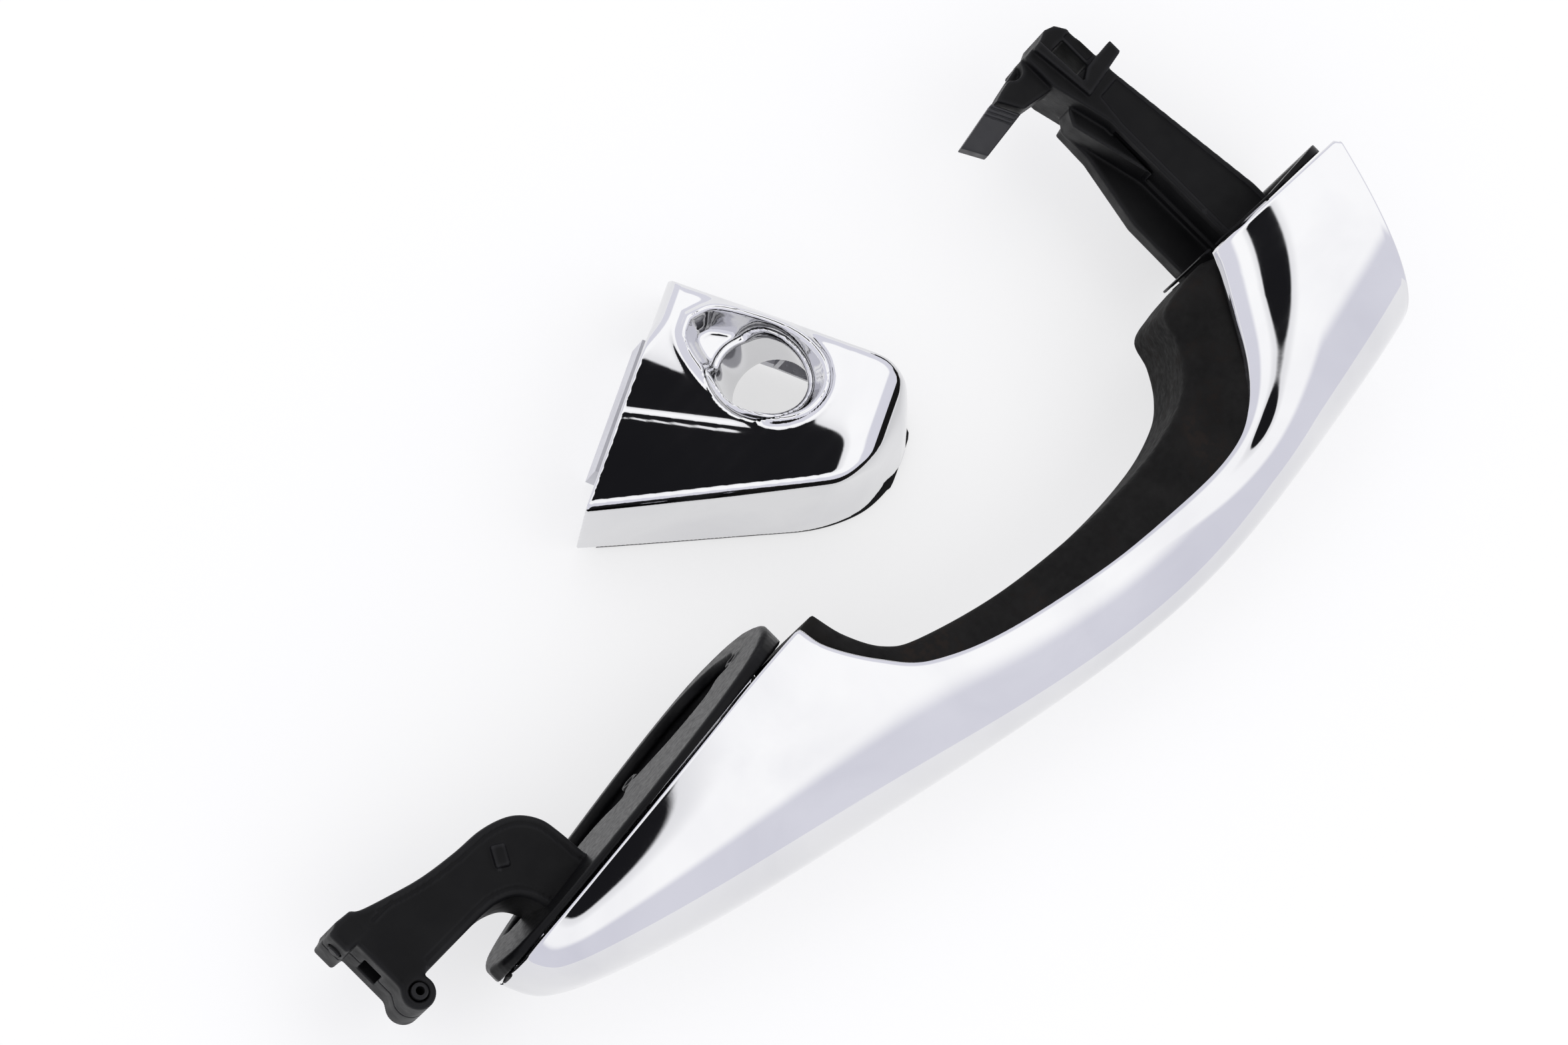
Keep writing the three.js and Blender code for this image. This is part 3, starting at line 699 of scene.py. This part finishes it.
# ---- front arm ----------------------------------------------------------------------------
ARM_BACK = smooth_path([(-1.5, -18.1), (-3, -17), (-8, -15.4), (-14.7, -13.6), (-22, -12.6),
                        (-28, -12.2), (-32.6, -10.9), (-35.4, -9), (-37.4, -6), (-38.1, -2.6),
                        (-38.6, 3)], 60)
ARM_NOTCH = smooth_path([(-27, 6), (-26, 2.6), (-24.2, 0.2), (-21, -1.2), (-17.5, -1.6)], 20)
ROOT_LOW, ROOT_HIGH = 10.5, 14.7
TIP_LENGTH = 9
END_PIN = (-15.2, 2.5)                              # its middle line's place in Y and Z
END_PIN_START = -1.4
END_PIN_STOP = 4.6
END_PIN_RADIUS = 1.2
PIVOT_RADIUS = 1.5
PIVOT_RECESS = 0.8
PIVOT_PROUD = 0.8                                   # the pivot pin stands out of the arm
PIVOT_HALF = ARM_HALF + PIVOT_PROUD
SCREW_HOLE_RADIUS = 1.9
FRONT_SCREWS = (-52, -72)


def arm_outline():
    return ([(1.8, -1.4), (1.8, -13.2), (3.8, -13.8), (3.8, -17.2), (1.8, -18.5)]
            + [tuple(p) for p in ARM_BACK]
            + [(-41, ROOT_LOW), (-80, ROOT_LOW), (-80, ROOT_HIGH), (-28, ROOT_HIGH)]
            + [tuple(p) for p in ARM_NOTCH])


def arm_field(x, y, z):
    flat = outline_distance(arm_outline(), x, y)
    body = both(flat, np.abs(z) - ARM_HALF, 0.9)
    rim = np.abs(flat + 1.5) - 0.22
    body = without(body, np.maximum(np.maximum(rim, x + 5), ARM_HALF - 0.22 - np.abs(z)))
    lug = both(rod(0, 0, 3.1, x, y), np.abs(z) - ARM_HALF, 0.8)
    end_lug = both(np.sqrt((y + 15.6) ** 2 + 0 * x) - 2.3, np.abs(x - 1.2) - 2.9, 0.6)
    end_lug = both(end_lug, np.abs(z) - ARM_HALF, 0.7)
    body = either(either(body, lug, 0.8), end_lug, 0.6)
    body = without(body, rod(0, 0, 1.8, x, y), 0.2)
    body = without(body, brick(-4.5, 6, -10.4, -6.4, -3.4, 3.4, x, y, z), 0.25)
    boss_x, boss_y = -27.2, -6.6
    along = (x - boss_x) * 0.5 + (y - boss_y) * 0.866
    across = (x - boss_x) * -0.866 + (y - boss_y) * 0.5
    boss = both(both(np.abs(along) - 2.0, np.abs(across) - 1.3, 0.3),
                np.abs(z) - ARM_HALF - 1.0, 0.3)
    body = either(body, boss, 0.35)
    slit = both(both(np.abs(y + 14.2) - 0.25, np.abs(x + 5.5) - 2.6),
                ARM_HALF - 0.35 - np.abs(z))
    body = without(body, slit)
    for sx in FRONT_SCREWS:
        hole = np.sqrt((x - sx) ** 2 + z ** 2 + 0 * y) - SCREW_HOLE_RADIUS
        body = without(body, both(hole, np.abs(y - 12) - 6))
    return body


def front_arm():
    def tip_zone(x, z, clearance):
        return both(-TIP_LENGTH - clearance - x, z - clearance)

    def pin_hole(y, z):
        return np.sqrt((y - END_PIN[0]) ** 2 + (z - END_PIN[1]) ** 2) - 1.5

    def upper(x, y, z):
        body = without(arm_field(x, y, z), tip_zone(x, z, 0.12) + 0 * y, 0.25)
        return without(body, both(pin_hole(y, z) + 0 * x, END_PIN_START - 0.3 - x))

    def lower(x, y, z):
        return both(arm_field(x, y, z), tip_zone(x, z, 0) + 0 * y, 0.25)

    arm = moulded("front_arm_moulding", upper, (-80, -19, -8), (5, 15, 8.4), 0.3, SATIN_BLACK)
    place(arm, "grip", "satin_black", "front_arm")
    tip = moulded("front_arm_tip_moulding", lower, (-10, -19, -8), (5, 4, 0.2), 0.22, SATIN_BLACK)
    place(tip, "grip", "satin_black", "front_arm_tip")


def turned_pin(name, radius, start, end, material, body, slot, node, recess=0.0):
    """A turned pin with chamfered ends, and a recess in its far end where it has one."""
    axis = np.array(end, float) - start
    reach = np.linalg.norm(axis)
    axis /= reach
    side = np.cross(axis, [0.3, 0.5, 0.81])
    side /= np.linalg.norm(side)
    other = np.cross(axis, side)
    bevel = radius * 0.18
    rings = [(0.0, 0), (radius - bevel, 0), (radius, bevel), (radius, reach - bevel),
             (radius - bevel, reach)]
    if recess:
        rings += [(recess, reach), (recess, reach * 0.35), (0.0, reach * 0.32)]
    else:
        rings += [(0.0, reach)]
    sides = 48
    points = []
    for r, at in rings:
        for k in range(sides):
            a = 2 * math.pi * k / sides
            points.append(start + axis * at + (side * math.cos(a) + other * math.sin(a)) * r)
    faces = []
    for i in range(len(rings) - 1):
        for k in range(sides):
            a, b = i * sides + k, i * sides + (k + 1) % sides
            faces.append((a, b, b + sides, a + sides))
    pin = mesh_piece(name, points, faces, material, 30)
    place(pin, body, slot, node)


# ---- rear arm -----------------------------------------------------------------------------
BEAM_X = -210.2
REAR_SCREW_X = -210
REAR_SCREW_SIDES = (-11, 11)


def beam(points):
    return [(BEAM_X + x, y) for x, y in points]


def rear_arm():
    body_line = beam([(-5.6, 12), (-5.6, 4), (-1.6, -28), (-1.1, -39.2), (0.2, -41.2),
                      (2.2, -41.9), (3.8, -41.2), (8.6, -40.8), (8.6, -33.4), (6.9, -27),
                      (5.6, -22), (5.4, 12)])
    neck_line = beam([(7, -40.8), (8.6, -40.9), (15.5, -39.5), (17.6, -38.9), (14.9, -34.4),
                      (8.4, -33.4), (7, -33.5)])
    flange_line = beam([(4, 12), (4, -22), (7.4, -27.6), (9.2, -27.2), (9.4, -20), (12.2, -6),
                        (12.4, 12)])
    wing_line = beam([(4.8, -30.6), (8.2, -28.6), (9.6, -26.2), (5.4, -10)])
    rail_line = beam([(-4.6, -32.3), (-4.6, -29.6), (5.4, -27.8), (6.8, -40.8), (5, -41),
                      (4.4, -30.4), (2, -31.8)])

    def field(x, y, z):
        body = slab(body_line, -ARM_HALF, ARM_HALF, x, y, z, 0.6)
        face = slab(beam([(-4.4, 9.8), (-4.4, 4), (-0.9, -26.6), (3.6, -26.4), (4.3, -20),
                          (4.3, 9.8)]), ARM_HALF - 0.45, ARM_HALF + 2, x, y, z, 0.2)
        body = without(body, face, 0.2)
        side_pan = slab(beam([(4.9, 9), (4.9, -20), (8, -21), (8, 9)]), -1.2, 5.2, x, y, z, 0.2)
        body = without(body, side_pan, 0.2)
        flange = slab(flange_line, -ARM_HALF, -ARM_HALF + 4.5, x, y, z, 0.6)
        body = either(body, flange, 0.5)
        wing = slab(wing_line, -4, 3.2, x, y, z, 0.25)
        body = either(body, wing, 0.35)
        neck = slab(neck_line, -0.5, 5.5, x, y, z, 0.5)
        body = either(body, neck, 0.5)
        saddle = rod(BEAM_X + 11.2, -41.0, 2.1, x, y)
        body = without(body, both(saddle + 0 * z, 2.2 - z), 0.3)
        rail = slab(rail_line, ARM_HALF - 1, ARM_HALF + 1.7, x, y, z, 0.35)
        body = either(body, rail, 0.3)
        pocket = brick(BEAM_X + 1.2, BEAM_X + 4.2, -38.4, -32, -9, 20, x, y, z, 0.3)
        body = without(body, pocket, 0.2)
        corner = slab(beam([(-1.0, -32.6), (0.6, -32.6), (0.6, -38.6), (-1.0, -38.6)]),
                      ARM_HALF - 0.6, 12, x, y, z, 0.1)
        body = without(body, corner, 0.2)
        root = brick(BEAM_X - 10, BEAM_X + 9.5, 10, 21.7, -14, 14, x, y, z, 0.5)
        body = either(body, root, 0.6)
        for side in REAR_SCREW_SIDES:
            off = np.sqrt((x - REAR_SCREW_X) ** 2 + (z - side) ** 2 + 0 * y)
            hole = off - SCREW_HOLE_RADIUS
            body = without(body, both(hole, np.abs(y - 15) - 9))
        return body

    arm = moulded("rear_arm_moulding", field, (-221, -43, -14.5), (-192, 22.2, 14.5), 0.3,
                  SATIN_BLACK)
    place(arm, "grip", "satin_black", "rear_arm")


def lever_tongue():
    outline = beam([(18.2, -39.2), (28.4, -37.4), (25.8, -33), (15.6, -34.2)])
    step_line = beam([(18.2, -39.2), (20.0, -38.9), (17.4, -34.0), (15.6, -34.2)])

    def field(x, y, z):
        body = slab(outline, 1.4, 4.4, x, y, z, 0.35)
        for shift in (0.0, 0.9):
            line = np.abs(outline_distance(step_line, x - shift, y)) - 0.16
            groove = np.maximum(line, 4.4 - 0.3 - z)
            body = without(body, groove)
        return body

    tongue = moulded("lever_tongue_moulding", field, (-196, -40, 1), (-181, -32, 5), 0.16,
                     TONGUE_GREY)
    place(tongue, "grip", "grey_plastic", "lever_tongue")


# ---- door pads ----------------------------------------------------------------------------
PAD_HALF = smooth_path([(-13.4, 0), (-15, 5.8), (-19, 10.8), (-28, 15), (-45, 18.3), (-65, 19.6),
                        (-80, 17.6), (-88, 12), (-91.6, 5.5), (-92.2, 0)], 60)
PAD_SLOPE = (0.12, 0.127)                           # the door face rises along X and Z
PAD_EYES = ((-84, 2.6), (-57, -4.2))            # two small eyelets in the opening's edge


def front_pad():
    outline = [tuple(p) for p in PAD_HALF] + [(x, -z) for x, z in PAD_HALF[-2:0:-1]]
    opening = smooth_path([(-86, -1.5), (-83.4, 4.2), (-79.4, 2.2), (-75, 4.2), (-66, 2.4),
                           (-56, -2.5), (-52.5, 0.3), (-48, -3.2), (-42, -5), (-32, -4.6),
                           (-23, -9), (-40, -14.8), (-60, -16.8), (-75, -15.6), (-83, -10),
                           (-86, -1.5)], 90)
    length = math.hypot(1, *PAD_SLOPE)

    def field(x, y, z):
        rim = outline_distance(outline, x, z)
        above = y - (door_line(x) - 0.4)
        below = (7.5 + PAD_SLOPE[0] * x + PAD_SLOPE[1] * z - y) / length
        body = both(both(rim, above, 0.4), below, 1.0)
        body = without(body, outline_distance(opening[:-1], x, z) + 0 * y, 0.4)
        body = without(body, both(rim + 2.2, below + 2.0, 0.3), 0.4)
        for ex, ez in PAD_EYES:
            ring = np.sqrt((x - ex) ** 2 + (z - ez) ** 2 + 0 * y)
            eye = both(both(ring - 1.9, below), -below - 2.2, 0.2)
            body = without(either(body, eye, 0.6), ring - 0.9, 0.15)
        return body

    pad = moulded("front_pad_moulding", field, (-93, -6.5, -20), (-13, 9.5, 20), 0.32, PAD_BLACK)
    place(pad, "door_side", "pad_rubber", "front_pad")


def rear_pad():
    front, rear, half = -196.2, -225.8, 19.2
    hole_front, hole_rear, hole_half = front - 1.2, rear + 3, half - 3.8

    def field(x, y, z):
        wide = both(np.abs(x - (front + rear) / 2) - (front - rear) / 2,
                    np.abs(z) - half, 5.5)
        hole = both(np.abs(x - (hole_front + hole_rear) / 2) - (hole_front - hole_rear) / 2,
                    np.abs(z) - hole_half, 3.5)
        wide = both(wide, np.abs(z) + (x - front) - (half - 7), 1.0)
        top = y - (door_line(x) - 0.3)
        drop = 0.5 + 1.2 * np.clip((-212 - x) / 12.8, 0, 1)
        bottom = door_line(x) - 0.3 - drop - y
        return both(both(without(wide, hole) + 0 * y, top, 0.1), bottom, 0.15)

    pad = moulded("rear_pad_moulding", field, (-227, 5, -20), (-195, 9, 20), 0.22, PAD_BLACK)
    place(pad, "door_side", "pad_rubber", "rear_pad")


# ---- lock cap -----------------------------------------------------------------------------
CAP_TURN = math.radians(114.2)
CAP_TURN_MATRIX = np.array([[math.cos(CAP_TURN), -math.sin(CAP_TURN), 0],
                            [math.sin(CAP_TURN), math.cos(CAP_TURN), 0], [0, 0, 1]])
CAP_PLACE = (-108.6, -45.7, FLOOR_Z)
CAP_BASE = 1.1
upper_side = spline([(-6, 25.0), (0, 25.25), (20, 26.2), (33, 26.7), (38, 26.6), (44, 24.4),
                     (48, 20), (50, 15)])
lower_side = spline([(-6, -28.2), (0, -25.25), (20, -15.2), (33, -8.6), (38, -5.9), (44, -1.0),
                     (48, 5.6), (50, 12)])
crown = spline([(-8, 24.7), (0, 25.2), (15, 26), (30, 26.9), (37, 27.2), (40.5, 25.8), (44, 21),
                (47.5, 12.5), (50, 4)])
FACE_SLOPE = 0.149               # the face falls towards the lower side by this slope
FACE_EDGE = 4.0                  # and is level beyond this line
LOCK_TOP = np.array([16.7, 9.3, CAP_BASE + 25.5])
LOCK_TILT = np.array([-0.49, 0, 0.872])
LOCK_RADIUS = 7.4
SLEEVE_RADIUS = 8.45
BEAD = smooth_path([(0.4, 14.4), (0.8, 10), (4.2, 6.2), (10.3, 2.8), (17, 0.9), (23.1, 1.6),
                    (28, 5.6), (29.6, 11.6), (27, 16.8), (20.6, 19.8), (12.7, 20.0),
                    (4.6, 18.4), (0.4, 14.4)], 90)
CAP_STATIONS = np.concatenate([np.linspace(-8, 40, 34), np.linspace(41, 50, 19)])
CAP_PLAN = ([(x, float(lower_side(x))) for x in CAP_STATIONS]
            + [(x, float(upper_side(x))) for x in CAP_STATIONS[::-1]])


def cap_form(x, y, z, inset, edge):
    """The cap's full form, set in by a distance: drafted sides under a flat, leaning face."""
    rise = z - CAP_BASE
    draft = 0.10 + 0.12 * np.maximum(smoothstep(36, 46, x), smoothstep(2, 14, y))
    side = outline_distance(CAP_PLAN, x, y) + inset + draft * np.maximum(rise, 0)
    fall = FACE_EDGE - y
    face = crown(x) - FACE_SLOPE * 0.5 * (fall + np.sqrt(fall * fall + 4))
    pitch = (crown(x + 0.2) - crown(x - 0.2)) / 0.4
    top = (rise - face + inset) / np.sqrt(1 + pitch ** 2 + FACE_SLOPE ** 2)
    return both(side, top, edge)


def key_lines(x, y, z):
    """Distance off the key hole's axis, and the way along it."""
    px, py, pz = x - LOCK_TOP[0], y - LOCK_TOP[1], z - LOCK_TOP[2]
    reach = px * LOCK_TILT[0] + pz * LOCK_TILT[2]
    return np.sqrt(np.maximum(px ** 2 + py ** 2 + pz ** 2 - reach ** 2, 0)), reach + 0 * py


def cap_relief(x, y, z):
    """How far the face stands out: the bead round the funnel, and a faint crease."""
    ring = outline_distance(BEAD[:-1], x, y) + 1.1
    bead = 1.25 * np.exp(-(ring / 0.95) ** 2)
    funnel = 3.4 * smoothstep(0.5, 4.0, -ring)
    crease = path_distance([(-8, -7.6), (-2.6, -6.2), (20.6, -0.4)], x, y)
    ridge = 0.2 * np.exp(-(crease / 0.9) ** 2) * smoothstep(24, 14, x + 0 * y)
    return np.where(z > 8, bead + ridge - funnel, 0), np.where(z > 8, funnel, 0)


CAP_STEP = 0.35
CAP_EDGE = 1.9                   # rounding between the face and the sides
CAP_WALL = 2.0
SLEEVE_STEP = 0.26
SLEEVE_DEPTH = 11


def key_cap_shell():
    def field(x, y, z):
        relief, funnel = cap_relief(x, y, z)
        body = cap_form(x, y, z, 0, CAP_EDGE) - relief
        body = without(body, cap_form(x, y, z, CAP_WALL, CAP_EDGE) + funnel, 0.3)
        wide_end = -(x + 0.16 * (z - CAP_BASE)) + 0 * y
        body = both(both(body, wide_end, 0.45), CAP_BASE - z, 0.3)
        off, _ = key_lines(x, y, z)
        return without(body, off - SLEEVE_RADIUS - 0.12, 0.45)

    cap = moulded("key_cap_chrome", field, (-6, -26, 0), (51, 28, 30), CAP_STEP, CHROME, 50,
                  CAP_PLACE, CAP_TURN_MATRIX)
    place(cap, "key_cap", "chrome", "key_cap_shell")


def key_cap_sleeve():
    def field(x, y, z):
        relief, _ = cap_relief(x, y, z)
        under_face = cap_form(x, y, z, 0, CAP_EDGE) - relief + 0.1
        off, reach = key_lines(x, y, z)
        ring = both(off - SLEEVE_RADIUS, LOCK_RADIUS - off, 0.3)
        return both(both(ring, under_face, 0.4), -SLEEVE_DEPTH - reach, 0.3)

    sleeve = moulded("key_cap_sleeve_ring", field, (4, -2, 10), (36, 21, 30), SLEEVE_STEP, CHROME, 50,
                     CAP_PLACE, CAP_TURN_MATRIX)
    place(sleeve, "key_cap", "chrome", "key_cap_sleeve")


# ---- node trees for what repeats or follows a path ------------------------------------------
class Tree:
    """A Geometry Nodes tree with named inputs, which ends in one finish."""

    def __init__(self, name, sizes):
        self.group = bpy.data.node_groups.new(name, "GeometryNodeTree")
        face = self.group.interface
        kinds = [("Geometry", "NodeSocketGeometry")] + [(s, "NodeSocketFloat") for s in sizes]
        kinds.append(("Finish", "NodeSocketMaterial"))
        self.sockets = {n: face.new_socket(n, in_out="INPUT", socket_type=k) for n, k in kinds}
        face.new_socket("Geometry", in_out="OUTPUT", socket_type="NodeSocketGeometry")
        self.inputs = self.group.nodes.new("NodeGroupInput").outputs

    def node(self, kind, output=0, settings=(), **values):
        node = self.group.nodes.new(kind)
        for name, value in settings:
            setattr(node, name, value)
        for name, value in values.items():
            socket = node.inputs[name.replace("_", " ")]
            for source in value if isinstance(value, list) else [value]:
                if isinstance(source, bpy.types.NodeSocket):
                    self.group.links.new(source, socket)
                else:
                    socket.default_value = source
        return node.outputs[output]

    def maths(self, operation, a, b):
        node = self.group.nodes.new("ShaderNodeMath")
        node.operation = operation
        for socket, value in zip(node.inputs, (a, b)):
            if isinstance(value, bpy.types.NodeSocket):
                self.group.links.new(value, socket)
            else:
                socket.default_value = value
        return node.outputs[0]

    def lifted(self, mesh, height):
        """A mesh moved up by a height."""
        shift = self.node("ShaderNodeCombineXYZ", Z=height)
        return self.node("GeometryNodeTransform", Geometry=mesh, Translation=shift)

    def close(self, geometry):
        real = self.node("GeometryNodeRealizeInstances", Geometry=geometry)
        done = self.node("GeometryNodeSetMaterial", Geometry=real, Material=self.inputs["Finish"])
        self.group.links.new(done, self.group.nodes.new("NodeGroupOutput").inputs[0])

    def apply(self, name, points, edges, finish, sharp, **sizes):
        """The tree's result on a mesh of points and edges, as a plain mesh object."""
        mesh = bpy.data.meshes.new(name)
        mesh.from_pydata([tuple(np.asarray(p) * MM) for p in points], edges, [])
        obj = bpy.data.objects.new(name, mesh)
        bpy.context.scene.collection.objects.link(obj)
        grow = obj.modifiers.new("grow", "NODES")
        grow.node_group = self.group
        for size, value in sizes.items():
            grow[self.sockets[size.replace("_", " ")].identifier] = float(value) * MM
        grow[self.sockets["Finish"].identifier] = finish
        bake_modifiers(obj)
        finish_mesh(obj, finish, sharp)
        return obj


def screw_tree():
    """A cross-recess screw on every point, its head's top there and its shank along Y."""
    sizes = ("Head Radius", "Head Height", "Shank Radius", "Shank Length", "Slot Width")
    tree = Tree("screws", sizes)
    head, high, shank, long, slot = [tree.inputs[s] for s in sizes]
    spare = 0.001

    def drum(radius, depth):
        return tree.node("GeometryNodeMeshCylinder", Vertices=40, Radius=radius, Depth=depth)

    def fuse(operation, *meshes):
        return tree.node("GeometryNodeMeshBoolean", settings=(
            ("operation", operation), ("solver", "EXACT")), Mesh_2=list(meshes))

    reach = tree.maths("ADD", high, 2 * spare)
    foot = tree.maths("SUBTRACT", tree.maths("MULTIPLY", head, 0.86), spare)
    flare = tree.node("GeometryNodeMeshCone", Vertices=40, Radius_Bottom=foot,
                      Radius_Top=tree.maths("ADD", foot, reach), Depth=reach)
    flare = tree.lifted(flare, -spare)
    body = tree.lifted(drum(head, high), tree.maths("MULTIPLY", high, 0.5))
    top = fuse("INTERSECT", body, flare)
    whole = tree.maths("ADD", long, tree.maths("MULTIPLY", high, 0.5))
    stem = tree.lifted(drum(shank, whole), tree.maths(
        "ADD", tree.maths("MULTIPLY", whole, 0.5), tree.maths("MULTIPLY", high, 0.5)))
    blank = fuse("UNION", top, stem)
    span = tree.maths("MULTIPLY", head, 1.2)
    across = tree.node("ShaderNodeCombineXYZ", X=span, Y=slot, Z=high)
    along = tree.node("ShaderNodeCombineXYZ", X=slot, Y=span, Z=high)
    cross = fuse("UNION", tree.node("GeometryNodeMeshCube", Size=across),
                 tree.node("GeometryNodeMeshCube", Size=along))
    screw = tree.node("GeometryNodeMeshBoolean", settings=(
        ("operation", "DIFFERENCE"), ("solver", "EXACT")), Mesh_1=blank, Mesh_2=cross)
    tree.close(tree.node("GeometryNodeInstanceOnPoints", Points=tree.inputs["Geometry"],
                         Instance=screw, Rotation=(-math.pi / 2, 0, 0)))
    return tree


SCREW = {"Head_Radius": 3.2, "Head_Height": 2.4, "Shank_Radius": 1.6, "Slot_Width": 0.9}
FRONT_SCREW_TOP, FRONT_SHANK = 7.8, 8.7
REAR_SCREW_TOP, REAR_SHANK = 7.3, 16.5


def screws():
    tree = screw_tree()
    front = [(x, FRONT_SCREW_TOP, MID_Z) for x in FRONT_SCREWS]
    rear = [(REAR_SCREW_X, REAR_SCREW_TOP, MID_Z + z) for z in REAR_SCREW_SIDES]
    for end, seats, shank in (("front", front, FRONT_SHANK), ("rear", rear, REAR_SHANK)):
        made = tree.apply(f"{end}_screws", seats, [], STEEL, 30, Shank_Length=shank, **SCREW)
        place(made, "grip", "steel", f"{end}_screw_1", f"{end}_screw_2")


def strip_tree():
    """A strip with rounded edges that follows a path, lying flat."""
    sizes = ("Width", "Height", "Edge Radius")
    tree = Tree("edge_strip", sizes)
    wide, high, edge = [tree.inputs[s] for s in sizes]
    path = tree.node("GeometryNodeMeshToCurve", Mesh=tree.inputs["Geometry"])
    path = tree.node("GeometryNodeSetCurveNormal", settings=(("mode", "Z_UP"),), Curve=path)
    outline = tree.node("GeometryNodeCurvePrimitiveQuadrilateral", Width=wide, Height=high)
    outline = tree.node("GeometryNodeFilletCurve", settings=(("mode", "POLY"),), Curve=outline,
                        Count=3, Radius=edge)
    tree.close(tree.node("GeometryNodeCurveToMesh", Curve=path, Profile_Curve=outline,
                         Fill_Caps=True))
    return tree


def key_cap_strip():
    height, middle = 0.8, 1.55
    xs = np.concatenate([np.linspace(3, 40, 30), np.linspace(40.6, 48.6, 22)])
    route = ([(x, float(lower_side(x)) + middle) for x in xs]
             + [(x, float(upper_side(x)) - middle) for x in xs[::-1]])
    turned = smooth_path(route, 150) @ CAP_TURN_MATRIX[:2, :2].T
    points = [(x + CAP_PLACE[0], y + CAP_PLACE[1], FLOOR_Z + height / 2) for x, y in turned]
    edges = [(i, i + 1) for i in range(len(points) - 1)]
    strip = strip_tree().apply("key_cap_edge_strip", points, edges, PAD_BLACK, 40, Width=2.4,
                               Height=height, Edge_Radius=0.25)
    place(strip, "key_cap", "pad_rubber", "key_cap_strip")


# ---- pieces that keep their plain solid's shape --------------------------------------------
def carried_nodes():
    finishes = {"grip_spine": SATIN_BLACK, "key_cap_frame": FRAME_GREY, "cap_clip_1": STEEL,
                "cap_clip_2": STEEL}
    for name, material in finishes.items():
        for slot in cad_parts[name].material_slots:
            slot.material = material


studio()
outer_shell()
grip_inner()
front_arm()
turned_pin("pivot_pin_turned", PIVOT_RADIUS, np.array([0, 0, -PIVOT_HALF]), (0, 0, PIVOT_HALF),
           SATIN_BLACK, "door_side", "satin_black", "pivot_pin", PIVOT_RECESS)
turned_pin("arm_end_pin_turned", END_PIN_RADIUS, np.array([END_PIN_START, *END_PIN]),
           (END_PIN_STOP, *END_PIN), SATIN_BLACK, "grip", "satin_black", "arm_end_pin")
rear_arm()
lever_tongue()
front_pad()
rear_pad()
key_cap_shell()
key_cap_sleeve()
key_cap_strip()
screws()
carried_nodes()
